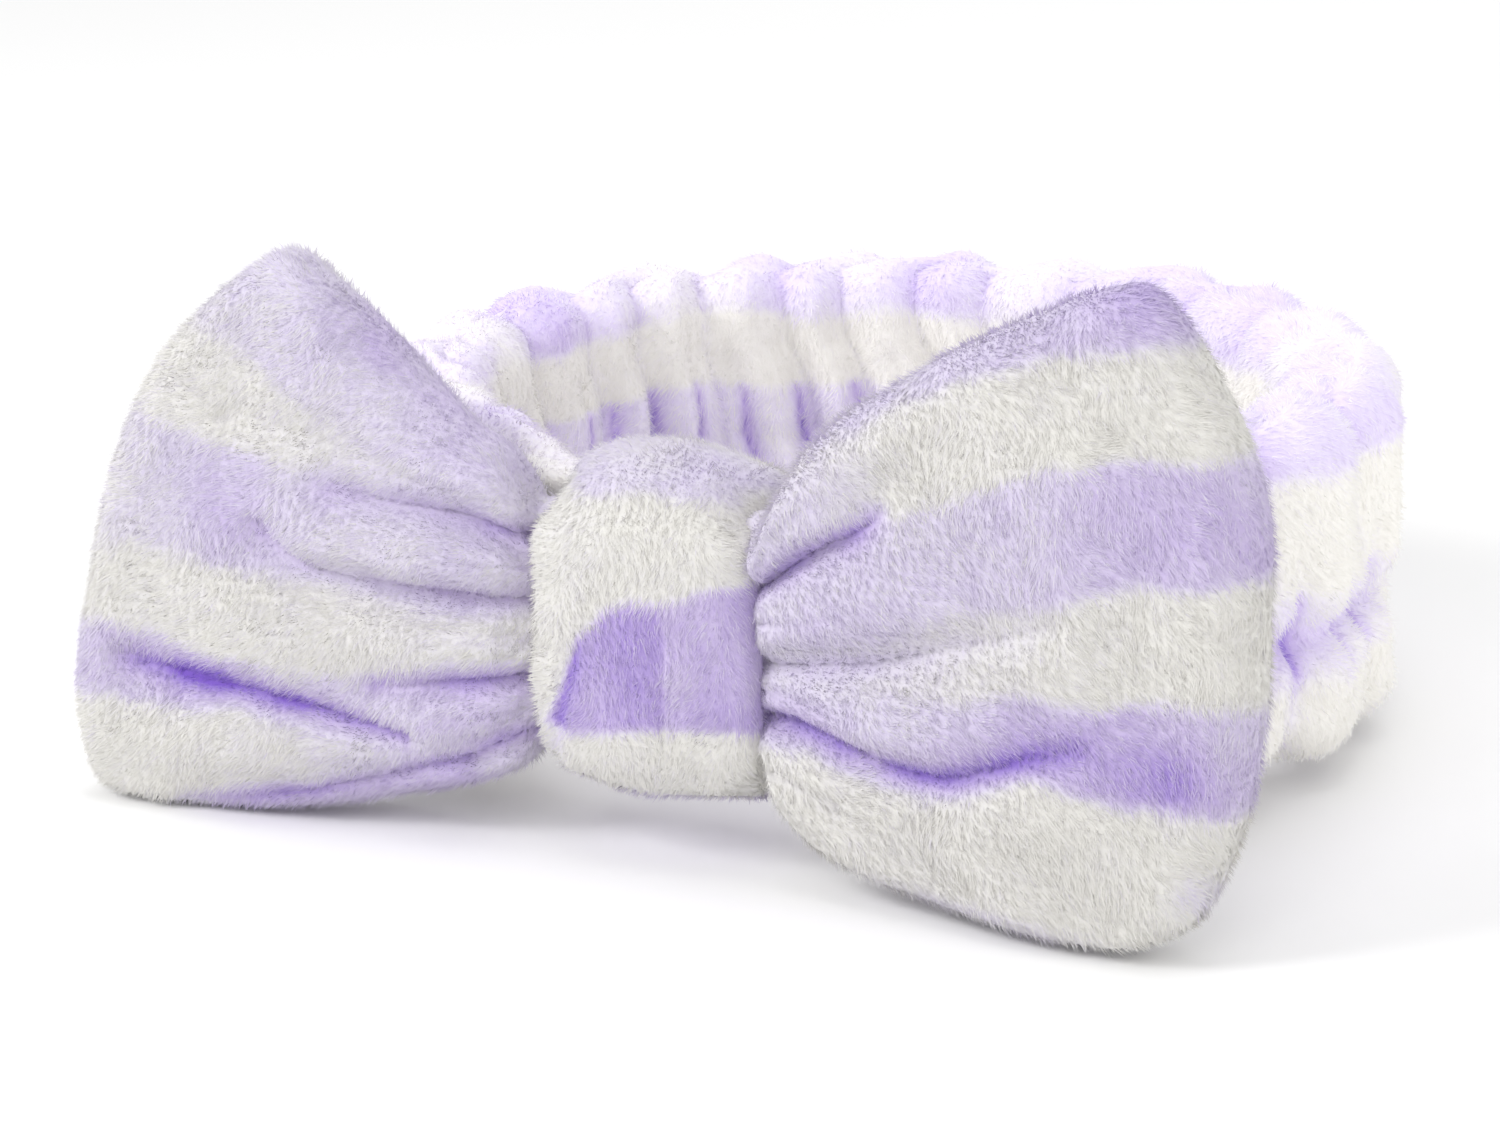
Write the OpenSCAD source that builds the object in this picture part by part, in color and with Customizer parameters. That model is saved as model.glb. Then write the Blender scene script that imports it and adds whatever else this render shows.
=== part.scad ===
// Plush stretch headband with a padded bow. All sizes in millimetres.
// +X to the wearer's left of the bow, +Y from the bow to the back of the band, +Z up.
// The band stands on its lower edge at z = 0.

/* [Band] */
// Radius of the middle of the band's thickness, relaxed
ring_r = 70; // [66:1:74]
// Height of the band
band_h = 57; // [56:1:60]
// Thickness of the ruched tube
band_t = 16; // [14:0.5:17]
// Fleece thickness with its pile pressed down
wall = 3.2; // [2.8:0.1:3.6]
// Corner radius of the tube's section
band_corner = 6; // [5:0.5:6.5]
// Thickness of the band where the knot squeezes it
pinch_t = 10; // [9.5:0.25:10]
// Half of the angle that the front piece spans
front_half_angle = 30; // [28:1:32]
// Angle from the side to where the rear piece starts
back_start_angle = 20; // [12:1:30]

/* [Elastic] */
// Width of the flat elastic
elastic_w = 20; // [15:1:24]
// Thickness of the flat elastic
elastic_t = 1.0; // [0.8:0.1:1.1]
// Height of the elastic's middle
elastic_z = 35; // [33:1:37]

/* [Knot] */
// Width of the knot strip
knot_w = 36; // [34:1:38]
// Lowest point of the knot
knot_lo = 10; // [9:0.5:10.5]
// Highest point of the knot
knot_hi = 60; // [59.5:0.5:61]
// Thickness of the knot's cloth
knot_wall = 3.5; // [3.3:0.1:3.6]
// Roundness of the knot's top and bottom
knot_corner = 9; // [8:0.5:11]

/* [Bow] */
// Thickness in front of the wing's middle surface
wing_front = 9; // [7:0.5:11]
// Thickness behind the wing's middle surface
wing_back = 8; // [6:0.5:9]
// Cloth thickness of the wing's panels
panel_t = 2.9; // [2.5:0.1:3.1]
// How far the wing's tip stands in front of its root
wing_sweep = 5; // [3:0.5:7]
// Backward lean of the wings, as a slope
wing_lean = 0.09; // [0:0.01:0.12]

/* [Thread] */
// Diameter of the sewing thread, with its cover of pile
thread_d = 0.8; // [0.5:0.1:0.9]

/* [Hidden] */
$fn = 48;

lavender = [0.80, 0.73, 0.93];
violet = [0.66, 0.55, 0.88];
ivory = [0.95, 0.94, 0.92];
rubbery = [0.97, 0.97, 0.96];
thread_col = [0.90, 0.87, 0.95];

// ring centre, behind the middle of the whole object's box
ring_y = 7.33;
gap = 0.3;               // clearance between bodies
touch = 0.02;            // clearance between neighbours in one body
flat_y = 68.5;           // the band's middle under the knot, in front of the ring's centre
flat_x = 18;             // half of the stretch that the knot flattens
pinch_lo = knot_lo + knot_wall + 1;
pinch_hi = knot_hi - knot_wall - 1;
fa = front_half_angle;
ba = back_start_angle;

// the knot's depth: strip, band, gather, strip
knot_in_back = flat_y - pinch_t/2 - gap;          // inner face against the band
gather_t = 10;
gather_y = flat_y + pinch_t/2 + gap + gather_t/2; // middle of the gather
knot_in_front = gather_y + gather_t/2 + 0.95; // room for the wings' roots to turn
knot_y0 = -(knot_in_front + knot_wall);
knot_y1 = -(knot_in_back - knot_wall);
hinge_x = 19;
hinge_y = -(gather_y + 0.2);
nose_r = 4.7;

function smooth(v) = let (c = max(0, min(1, v))) c*c*(3 - 2*c);
function lerp(a, b, w) = a + (b - a)*w;
// Catmull-Rom curve through a short list of points
function cr(p, w) = let (n = len(p) - 1, q = max(0, min(0.99999, w))*n, i = floor(q), f = q - i,
    a = p[max(i-1, 0)], b = p[i], c = p[i+1], d = p[min(i+2, n)])
    0.5*(2*b + (c - a)*f + (2*a - 5*b + 4*c - d)*f*f + (3*b - a - 3*c + d)*f*f*f);

module place() { translate([0, ring_y, 0]) children(); }

// ---------- band section and its arcs ----------
module round_rect(w, h, r) {
    square([w - 2*r, h], center = true);
    square([w, h - 2*r], center = true);
    for (sx = [-1, 1], sz = [-1, 1]) translate([sx*(w/2 - r), sz*(h/2 - r)]) circle(r);
}
module tube_section(ridge) {
    difference() {
        translate([ring_r, band_h/2]) round_rect(band_t, band_h, band_corner);
        translate([ring_r, band_h/2]) round_rect(band_t - 2*wall, band_h - 2*wall, band_corner - wall);
    }
    // the two seam allowances, sewn together and standing up inside the tube
    if (ridge) translate([ring_r - 1.2, wall - 0.5]) square([2.4, 5.5]);
}
module arc(a0, a1) { rotate([0, 0, a0]) rotate_extrude(angle = a1 - a0, $fn = 128) children(); }
function gap_deg(g) = g/ring_r*57.29578;

// ---------- front piece, squeezed flat under the knot ----------
front_x = ring_r*sin(fa);
function path_y(x) = let (w = smooth((abs(x) - 14)/(front_x - 14)))
    lerp(-flat_y, -sqrt(ring_r*ring_r - x*x), w);
function path_n(x) = abs(x) >= front_x - 0.01 ? [x/ring_r, -cos(fa)] :
    let (d = (path_y(x + 0.05) - path_y(x - 0.05))/0.1, l = sqrt(1 + d*d)) [d/l, -1/l];
function squeeze(x) = smooth((abs(x) - flat_x)/(front_x - flat_x));
// rounded rectangle of 20 points as [outwards, up]
function rr_points(ht, z0, z1, r) = [for (c = [0:3], k = [0:4])
    let (a = c*90 + k*22.5, cx = (c == 0 || c == 3) ? ht - r : r - ht, cz = (c < 2) ? z1 - r : z0 + r)
    [cx + r*cos(a), cz + r*sin(a)]];
function ring_points(x, inset) = let (w = squeeze(x), n = path_n(x),
    ht = lerp(pinch_t/2, band_t/2, w) - inset,
    z0 = lerp(pinch_lo, 0, w) + inset, z1 = lerp(pinch_hi, band_h, w) - inset,
    r = max(0.8, lerp(4.6, band_corner, w) - inset))
    [for (p = rr_points(ht, z0, z1, min(r, ht - 0.05))) [x + n[0]*p[0], path_y(x) + n[1]*p[0], p[1]]];
module front_tube() {
    N = 20; M = 20;
    xs = [for (i = [0:N]) lerp(-front_x + touch, front_x - touch, i/N)];
    out = [for (x = xs) each ring_points(x, 0)];
    inn = [for (x = xs) each ring_points(x, wall)];
    o = (N + 1)*M;
    function q(a, b, c, d) = [[a, b, c], [a, c, d]];
    faces = [for (i = [0:N-1], j = [0:M-1]) let (k = (j+1)%M) each q(i*M+j, i*M+k, (i+1)*M+k, (i+1)*M+j),
             for (i = [0:N-1], j = [0:M-1]) let (k = (j+1)%M) each q(o+i*M+j, o+(i+1)*M+j, o+(i+1)*M+k, o+i*M+k),
             for (j = [0:M-1]) let (k = (j+1)%M) each q(j, o+j, o+k, k),
             for (j = [0:M-1]) let (k = (j+1)%M) each q(N*M+j, N*M+k, o+N*M+k, o+N*M+j)];
    polyhedron([each out, each inn], faces, convexity = 6);
}

module sleeve_front() { color(lavender) place() front_tube(); }
module sleeve_right() { color(ivory) place() arc(-90 + fa, ba - gap_deg(gap)) tube_section(true); }
module sleeve_left() { color(ivory) place() mirror([1, 0, 0]) arc(-90 + fa, ba - gap_deg(gap)) tube_section(true); }
module sleeve_back() { color(lavender) place() arc(ba, 180 - ba) tube_section(true); }

// ---------- elastic: one flat loop whose two tails overlap under the knot ----------
module elastic_section() { translate([ring_r - elastic_t/2, elastic_z - elastic_w/2]) square([elastic_t, elastic_w]); }
module tail(x0, x1, side) {
    N = 12;
    pts = [for (i = [0:N]) let (x = lerp(x0, x1, i/N), n = path_n(x),
            off = side*(elastic_t/2 + touch)*(1 - smooth((abs(x) - 12)/(front_x - 12))))
        for (c = [[-1, -1], [1, -1], [1, 1], [-1, 1]])
            [x + n[0]*(off + c[0]*elastic_t/2), path_y(x) + n[1]*(off + c[0]*elastic_t/2), elastic_z + c[1]*elastic_w/2]];
    faces = [[0, 1, 2], [0, 2, 3], [4*N+2, 4*N+1, 4*N], [4*N+3, 4*N+2, 4*N],
        for (i = [0:N-1], j = [0:3]) let (k = (j+1)%4) each [[4*i+j, 4*i+4+j, 4*i+4+k], [4*i+j, 4*i+4+k, 4*i+k]]];
    polyhedron(pts, faces, convexity = 4);
}
module elastic_tail_left() { color(rubbery) place() tail(-front_x + touch, 8, 1); }
module elastic_tail_right() { color(rubbery) place() tail(-8, front_x - touch, -1); }
module elastic_right() { color(rubbery) place() arc(-90 + fa, ba - gap_deg(gap)) elastic_section(); }
module elastic_left() { color(rubbery) place() mirror([1, 0, 0]) arc(-90 + fa, ba - gap_deg(gap)) elastic_section(); }
module elastic_back() { color(rubbery) place() arc(ba, 180 - ba) elastic_section(); }

// two rows of stitches through both tails
module elastic_join_stitches() {
    color(thread_col) place()
    for (x = [-5, 5], k = [-3:3])
        translate([x, -flat_y, elastic_z + k*2.6]) rotate([90, 0, 0])
            cylinder(d = thread_d, h = 2*elastic_t + 0.6, center = true);
}
// stitches that join the two ends of the tube, round its squeezed section
module sleeve_join_stitches() {
    ht = pinch_t/2 - wall/2;
    color(thread_col) place()
    for (k = [0:7], s = [-1, 1])
        translate([0, -flat_y + s*ht, lerp(pinch_lo + 6, pinch_hi - 6, k/7)]) rotate([0, 90, 0])
            cylinder(d = thread_d, h = 3, center = true);
}
// running stitch through the seam allowances inside the rear of the tube
module sleeve_seam_stitches() {
    n = 38;
    color(thread_col) place()
    for (k = [0:n])
        rotate([0, 0, ba + 2 + k*(176 - 2*ba)/n]) translate([ring_r, 0, wall + 2.6]) rotate([0, 90, 0])
            cylinder(d = thread_d, h = 3.4, center = true);
}

// ---------- bow centre ----------
module slab(w, h, r, len) { rotate([90, 0, 90]) linear_extrude(len, center = true) round_rect(w, h, r); }
module bow_centre_gather() {
    h = pinch_hi - pinch_lo;
    color(lavender) place() translate([0, -gather_y, (pinch_lo + pinch_hi)/2])
    difference() {
        slab(gather_t, h, 4.6, 27);
        difference() {
            slab(gather_t + 4, h + 4, 4, 4);
            slab(gather_t - 2.4, h - 2.4, 3.4, 5);
        }
    }
}
// three turns of thread tied round the gather
module cinch_thread() {
    h = pinch_hi - pinch_lo;
    color(thread_col) place() translate([0, -gather_y, (pinch_lo + pinch_hi)/2])
    for (k = [-1:1]) translate([k*1.15, 0, 0])
        difference() {
            slab(gather_t - 2.4 + 2*thread_d + 0.1, h - 2.4 + 2*thread_d + 0.1, 4, thread_d);
            slab(gather_t - 2.4 + 0.1, h - 2.4 + 0.1, 3.45, 3);
        }
}
module knot_loop() {
    d = knot_y1 - knot_y0; h = knot_hi - knot_lo;
    color(ivory) place() translate([0, (knot_y0 + knot_y1)/2, (knot_lo + knot_hi)/2])
    difference() {
        slab(d, h, knot_corner, knot_w);
        slab(d - 2*knot_wall, h - 2*knot_wall, knot_corner - knot_wall, knot_w + 2);
    }
}
// hand stitches that close the strip on the inside of the ring
module knot_closing_stitches() {
    color(thread_col) place()
    for (k = [0:8])
        translate([0, knot_y1 + 0.1, 21 + k*3.5]) rotate([0, 90, 0]) cylinder(d = thread_d, h = 3.4, center = true);
}

// ---------- wings ----------
// outer edge from the bottom corner to the top corner, as [out from the middle, up]
right_edge = [[80, 0], [88, 8], [93, 24], [95, 42], [93, 60], [86, 80], [74, 94]];
left_edge = [[91, 0], [95, 11], [94, 27], [91, 44], [86, 60], [78, 73], [63, 86]];
right_bulge = [5.5, 0.65, 8.5, 0.75];   // bottom drop and its skew, top rise and its skew
left_bulge = [5, 0.8, 4, 1.4];
root_lo = 15.2; root_hi = 54.8;
NS = 14; NT = 12; NN = 4;               // stations outwards, upwards, and round the nose

// The wing's height starts to grow just outside the knot, so that its root turns freely inside it.
function wing_xz(s, t, edge, bl) = let (e = cr(edge, t), g = max(0, s - 0.045)/0.955)
    [lerp(hinge_x, e[0], s),
     max(0, lerp(lerp(root_lo, root_hi, t), e[1], g)
        - bl[0]*sin(180*pow(g, bl[1]))*(1 - t)*(1 - t) + bl[2]*sin(180*pow(g, bl[3]))*t*t)];
// the root's ends are rounded off, to clear the knot's inner corners
function root_round(t) = let (d = min(t, 1 - t)*(root_hi - root_lo), e = 1 - min(1, d/4.5)) sqrt(1 - 0.75*e*e);
// half thickness: a plain round nose at the root, a crowned pad outside it
function pad(s, t, full, grow) = let (
    crown = pow(1 - pow(abs(2*t - 1), 3), 0.6)*pow(1 - pow(s, 6), 0.5),
    a = s*70, w = smooth((a - 3)/grow), v = smooth((a - 1)/22))
    lerp(nose_r*root_round(t), 2.3 + (full - 2.3)*crown, lerp(v*(1 - crown), 1, w));
function mid_y(s, z) = hinge_y - wing_sweep*s + wing_lean*(z - 45)*s;
// grid of points [x, y, z]; which = -1 front, +1 back; depth = distance inside the outer face
function station(i) = i < NN ? -1 : (i - NN)/NS;
function wing_point(i, j, which, depth, edge, bl) = let (
    t = j/NT,
    a = i < NN ? -nose_r*cos(90*i/NN) : 0,
    s = max(0, station(i)),
    p = wing_xz(s, t, edge, bl),
    h0 = i < NN ? max(0.45, nose_r*root_round(t)*sin(90*i/NN)) : which < 0 ? pad(s, t, wing_front, 24) : pad(s, t, wing_back, 34),
    h = max(0.05, h0 - depth))
    [p[0] + a, mid_y(s, p[1]) + which*h, p[1]];
function grid(which, depth, edge, bl) = [for (i = [0:NN + NS], j = [0:NT]) wing_point(i, j, which, depth, edge, bl)];

// closed solid between two grids of (a+1) x (b+1) points
module between(A, B, a, b) {
    n = (a + 1)*(b + 1); w = b + 1;
    function v(i, j) = i*w + j;
    function q(p, r, s, t) = [[p, r, s], [p, s, t]];
    faces = [for (i = [0:a-1], j = [0:b-1]) each q(v(i, j), v(i, j+1), v(i+1, j+1), v(i+1, j)),
             for (i = [0:a-1], j = [0:b-1]) each q(n+v(i, j), n+v(i+1, j), n+v(i+1, j+1), n+v(i, j+1)),
             for (i = [0:a-1]) each q(v(i, 0), v(i+1, 0), n+v(i+1, 0), n+v(i, 0)),
             for (i = [0:a-1]) each q(v(i+1, b), v(i, b), n+v(i, b), n+v(i+1, b)),
             for (j = [0:b-1]) each q(v(0, j+1), v(0, j), n+v(0, j), n+v(0, j+1)),
             for (j = [0:b-1]) each q(v(a, j), v(a, j+1), n+v(a, j+1), n+v(a, j))];
    polyhedron([each A, each B], faces, convexity = 6);
}
module front_panel(edge, bl) between(grid(-1, 0, edge, bl), grid(-1, panel_t, edge, bl), NN + NS, NT);
module back_panel(edge, bl) between(grid(1, panel_t, edge, bl), grid(1, 0, edge, bl), NN + NS, NT);
module wadding(edge, bl) {
    function sub(which) = [for (i = [2:NN + NS - 1], j = [1:NT - 1]) wing_point(i, j, which, panel_t + 0.12, edge, bl)];
    between(sub(-1), sub(1), NN + NS - 3, NT - 2);
}
// stitches through both panels along the top, the outer edge and the bottom
module seam(edge, bl) {
    function at(u) = u < 1 ? wing_xz(lerp(0.2, 0.965, u), 0.035, edge, bl)
        : u < 2 ? wing_xz(0.965, lerp(0.035, 0.965, u - 1), edge, bl)
        : wing_xz(lerp(0.965, 0.2, u - 2), 0.965, edge, bl);
    for (k = [0:35]) let (p = at(k/12))
        translate([p[0], mid_y((p[0] - hinge_x)/70, p[1]), max(1.2, p[1])]) rotate([90, 0, 0])
            cylinder(d = thread_d, h = 3.2, center = true);
}
module left() { place() mirror([1, 0, 0]) children(); }

module left_wing_front_panel() { color(lavender) left() front_panel(left_edge, left_bulge); }
module left_wing_back_panel() { color(violet) left() back_panel(left_edge, left_bulge); }
module left_wing_wadding() { color("white") left() wadding(left_edge, left_bulge); }
module left_wing_seam_stitches() { color(thread_col) left() seam(left_edge, left_bulge); }
module right_wing_front_panel() { color(lavender) place() front_panel(right_edge, right_bulge); }
module right_wing_back_panel() { color(violet) place() back_panel(right_edge, right_bulge); }
module right_wing_wadding() { color("white") place() wadding(right_edge, right_bulge); }
module right_wing_seam_stitches() { color(thread_col) place() seam(right_edge, right_bulge); }

sleeve_front();
sleeve_left();
sleeve_right();
sleeve_back();
elastic_tail_left();
elastic_tail_right();
elastic_left();
elastic_right();
elastic_back();
elastic_join_stitches();
sleeve_join_stitches();
sleeve_seam_stitches();
bow_centre_gather();
cinch_thread();
knot_loop();
knot_closing_stitches();
left_wing_front_panel();
left_wing_back_panel();
left_wing_wadding();
left_wing_seam_stitches();
right_wing_front_panel();
right_wing_back_panel();
right_wing_wadding();
right_wing_seam_stitches();
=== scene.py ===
import bpy
import math
import numpy as np
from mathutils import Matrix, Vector


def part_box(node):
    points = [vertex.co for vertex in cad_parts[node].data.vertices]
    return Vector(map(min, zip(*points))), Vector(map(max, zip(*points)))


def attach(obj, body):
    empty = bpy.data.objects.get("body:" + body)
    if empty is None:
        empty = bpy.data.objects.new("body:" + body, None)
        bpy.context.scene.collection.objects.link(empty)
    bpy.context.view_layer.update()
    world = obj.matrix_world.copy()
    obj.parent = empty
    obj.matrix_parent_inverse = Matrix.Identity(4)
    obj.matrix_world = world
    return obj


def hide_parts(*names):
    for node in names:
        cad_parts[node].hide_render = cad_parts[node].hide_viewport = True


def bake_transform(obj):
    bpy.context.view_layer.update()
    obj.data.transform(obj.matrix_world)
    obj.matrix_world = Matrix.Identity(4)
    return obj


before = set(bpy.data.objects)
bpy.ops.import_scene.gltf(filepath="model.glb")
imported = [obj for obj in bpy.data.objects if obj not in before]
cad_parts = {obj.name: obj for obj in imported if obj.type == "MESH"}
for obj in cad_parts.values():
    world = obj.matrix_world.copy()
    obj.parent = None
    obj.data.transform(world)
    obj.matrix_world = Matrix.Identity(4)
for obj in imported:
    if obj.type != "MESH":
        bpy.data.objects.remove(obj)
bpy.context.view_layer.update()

MM = 0.001


# ------------------------------------------------------------------ numbers
def smooth(v):
    v = np.clip(v, 0.0, 1.0)
    return v * v * (3 - 2 * v)


def lerp(a, b, w):
    return a + (b - a) * w


def hash3(i, j, k, seed):
    with np.errstate(over="ignore"):
        h = (i.astype(np.uint32) * np.uint32(374761393) + j.astype(np.uint32) * np.uint32(668265263)
             + k.astype(np.uint32) * np.uint32(1274126177) + np.uint32((seed * 974634777) & 0xFFFFFFFF))
        h = (h ^ (h >> np.uint32(13))) * np.uint32(1103515245)
        h = (h ^ (h >> np.uint32(15))) * np.uint32(2654435769)
        h = h ^ (h >> np.uint32(16))
    return h.astype(np.float64) / 4294967295.0 * 2 - 1


def noise(p, scale, seed=0):
    """Smooth value noise from -1 to 1 at points p (n, 3)."""
    q = np.asarray(p, float) / scale + 1000.0
    i = np.floor(q).astype(np.int64)
    f = q - i
    u = f * f * (3 - 2 * f)
    out = np.zeros(len(q))
    for a in (0, 1):
        for b in (0, 1):
            for c in (0, 1):
                w = (u[:, 0] if a else 1 - u[:, 0]) * (u[:, 1] if b else 1 - u[:, 1]) * (u[:, 2] if c else 1 - u[:, 2])
                out += w * hash3(i[:, 0] + a, i[:, 1] + b, i[:, 2] + c, seed)
    return out


def fbm(p, scale, seed=0, octaves=3):
    out, amp, total = 0.0, 1.0, 0.0
    for o in range(octaves):
        out = out + amp * noise(p, scale / 2 ** o, seed + 17 * o)
        total += amp
        amp *= 0.5
    return out / total


def catmull(points, n):
    """n points along a smooth curve through the given ones."""
    p = np.asarray(points, float)
    k = len(p) - 1
    q = np.linspace(0, k - 1e-9, n)
    i = np.floor(q).astype(int)
    f = (q - i)[:, None]
    a, b, c, d = p[np.maximum(i - 1, 0)], p[i], p[i + 1], p[np.minimum(i + 2, k)]
    return 0.5 * (2 * b + (c - a) * f + (2 * a - 5 * b + 4 * c - d) * f * f + (3 * b - a - 3 * c + d) * f ** 3)


def near(points, curve):
    """Distance from each point (n, 2) to a curve (m, 2), how far along it from 0 to 1, and the side: above is positive."""
    d2 = ((points[:, None, :] - curve[None, :, :]) ** 2).sum(2)
    k = d2.argmin(1)
    tan = np.gradient(curve, axis=0)[k]
    rel = points - curve[k]
    side = np.sign(tan[:, 0] * rel[:, 1] - tan[:, 1] * rel[:, 0])
    side = np.where(side == 0, 1, side) * np.sign(tan[:, 0] + 1e-9)
    return np.sqrt(d2[np.arange(len(points)), k]), k / (len(curve) - 1), side


# ------------------------------------------------------------------ the frame's own places, in millimetres
back_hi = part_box("sleeve_back")[1]
knot_a, knot_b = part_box("knot_loop")
left_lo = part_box("sleeve_left")[0]
RING_R = -left_lo.x / MM - 8.0               # middle of the tube's thickness
RY = back_hi.y / MM - RING_R - 8.0           # ring's centre
BAND_H = back_hi.z / MM
KNOT_X = knot_b.x / MM
KNOT_Z0, KNOT_Z1 = knot_a.z / MM, knot_b.z / MM
KNOT_Y0, KNOT_Y1 = knot_a.y / MM - RY, knot_b.y / MM - RY
HINGE_X, HINGE_Y = 19.0, -79.0
FLAT_Y, FLAT_X, FRONT_X = 68.5, 18.0, 35.0


# ------------------------------------------------------------------ camera and stage first
cam_data = bpy.data.cameras.new("camera")
cam = bpy.data.objects.new("camera", cam_data)
bpy.context.scene.collection.objects.link(cam)
CAM_A, CAM_E, CAM_D, CAM_F = math.radians(25.3), math.radians(16.0), 720.0, 4780.0
target = Vector((-4.9, RY - 39.4, 32.85)) * MM
direction = Vector((math.sin(CAM_A) * math.cos(CAM_E), -math.cos(CAM_A) * math.cos(CAM_E), math.sin(CAM_E)))
cam.location = target + direction * CAM_D * MM
cam.rotation_euler = (-direction).to_track_quat("-Z", "Y").to_euler()
cam_data.sensor_width = 36.0
cam_data.lens = 36.0 * CAM_F / 1500.0
cam_data.clip_start = 0.01
bpy.context.scene.camera = cam


# ------------------------------------------------------------------ materials
def srgb(r, g, b):
    return tuple(((c / 255.0) / 12.92 if c <= 10.31 else ((c / 255.0 + 0.055) / 1.055) ** 2.4) for c in (r, g, b)) + (1.0,)


BOW_PAINTED_SHADE_GAIN, BAND_PAINTED_LIGHT_GAIN = 0.90, 1.03            # painted light and shade: one fleece, painted a little darker on the bow and a little lighter on the band to stand in for how each is lit
# tone 0 is white pile, 1 is the deepest purple, where painted crease shade is strongest
TONES = [(0.00, (243, 241, 236)), (0.12, (240, 237, 240)), (0.28, (231, 223, 245)), (0.45, (218, 204, 240)),
         (0.62, (199, 179, 234)), (0.80, (171, 145, 225)), (1.00, (138, 102, 212))]


def tone_rgb(t):
    t = np.clip(np.asarray(t, float), 0, 1)
    xs = [a for a, _ in TONES]
    return np.stack([np.interp(t, xs, [c[k] for _, c in TONES]) for k in range(3)], -1)


def new_material(name):
    m = bpy.data.materials.new(name)
    m.use_nodes = True
    nt = m.node_tree
    return m, nt, nt.nodes["Principled BSDF"]


def fleece_material(name, seed, gain=1.0):
    """Plush base cloth: its colour follows the tone attribute (print with painted crease shade), broken up by the
    pile's grain.
    """
    m, nt, p = new_material(name)
    n, ln = nt.nodes, nt.links
    tone = n.new("ShaderNodeAttribute")
    tone.attribute_name = "tone"
    coord = n.new("ShaderNodeTexCoord")
    grain = n.new("ShaderNodeTexNoise")
    grain.inputs["Scale"].default_value = 620.0
    grain.inputs["Detail"].default_value = 4.0
    grain.inputs["Roughness"].default_value = 0.65
    blot = n.new("ShaderNodeTexNoise")
    blot.inputs["Scale"].default_value = 120.0
    blot.inputs["Detail"].default_value = 3.0
    blot.noise_dimensions = "4D"
    blot.inputs["W"].default_value = float(seed)
    for t in (grain, blot):
        ln.new(coord.outputs["Object"], t.inputs["Vector"])
    a = n.new("ShaderNodeMath")
    a.operation = "MULTIPLY_ADD"
    ln.new(grain.outputs["Fac"], a.inputs[0])
    a.inputs[1].default_value = 0.22
    a.inputs[2].default_value = -0.11
    b = n.new("ShaderNodeMath")
    b.operation = "MULTIPLY_ADD"
    ln.new(blot.outputs["Fac"], b.inputs[0])
    b.inputs[1].default_value = 0.20
    ln.new(a.outputs[0], b.inputs[2])
    c = n.new("ShaderNodeMath")
    c.operation = "ADD"
    ln.new(tone.outputs["Fac"], c.inputs[0])
    ln.new(b.outputs[0], c.inputs[1])
    c2 = n.new("ShaderNodeMath")
    c2.operation = "SUBTRACT"
    ln.new(c.outputs[0], c2.inputs[0])
    c2.inputs[1].default_value = 0.10
    ramp = n.new("ShaderNodeValToRGB")
    el = ramp.color_ramp.elements
    while len(el) > 1:
        el.remove(el[-1])
    el[0].position, el[0].color = TONES[0][0], srgb(*[gain * c for c in TONES[0][1]])
    for x, col in TONES[1:]:
        e = el.new(x)
        e.color = srgb(*[gain * c for c in col])
    ln.new(c2.outputs[0], ramp.inputs[0])
    ln.new(ramp.outputs[0], p.inputs["Base Color"])
    rough = n.new("ShaderNodeMapRange")
    ln.new(grain.outputs["Fac"], rough.inputs["Value"])
    rough.inputs["To Min"].default_value = 0.82
    rough.inputs["To Max"].default_value = 1.0
    ln.new(rough.outputs[0], p.inputs["Roughness"])
    bump = n.new("ShaderNodeBump")
    bump.inputs["Strength"].default_value = 0.5
    bump.inputs["Distance"].default_value = 0.0006
    ln.new(grain.outputs["Fac"], bump.inputs["Height"])
    ln.new(bump.outputs[0], p.inputs["Normal"])
    p.inputs["Specular IOR Level"].default_value = 0.15
    p.inputs["Sheen Weight"].default_value = 0.35
    p.inputs["Sheen Roughness"].default_value = 0.5
    return m


PILE_STEPS = 12
PILE_MATS = {}
for cloth, k in [(c, i) for c in ("bow", "band") for i in range(PILE_STEPS)]:
    m, nt, p = new_material("pile_%s_%02d" % (cloth, k))
    # the bow's pile is painted darker and the band's lighter, as painted shade and painted light
    rgb = tone_rgb(k / (PILE_STEPS - 1)) * (BOW_PAINTED_SHADE_GAIN if cloth == "bow" else BAND_PAINTED_LIGHT_GAIN)
    p.inputs["Base Color"].default_value = srgb(*[float(v) for v in rgb])
    p.inputs["Roughness"].default_value = 0.75
    p.inputs["Specular IOR Level"].default_value = 0.25
    p.inputs["Sheen Weight"].default_value = 0.5
    p.inputs["Sheen Roughness"].default_value = 0.4
    PILE_MATS.setdefault(cloth, []).append(m)


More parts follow.
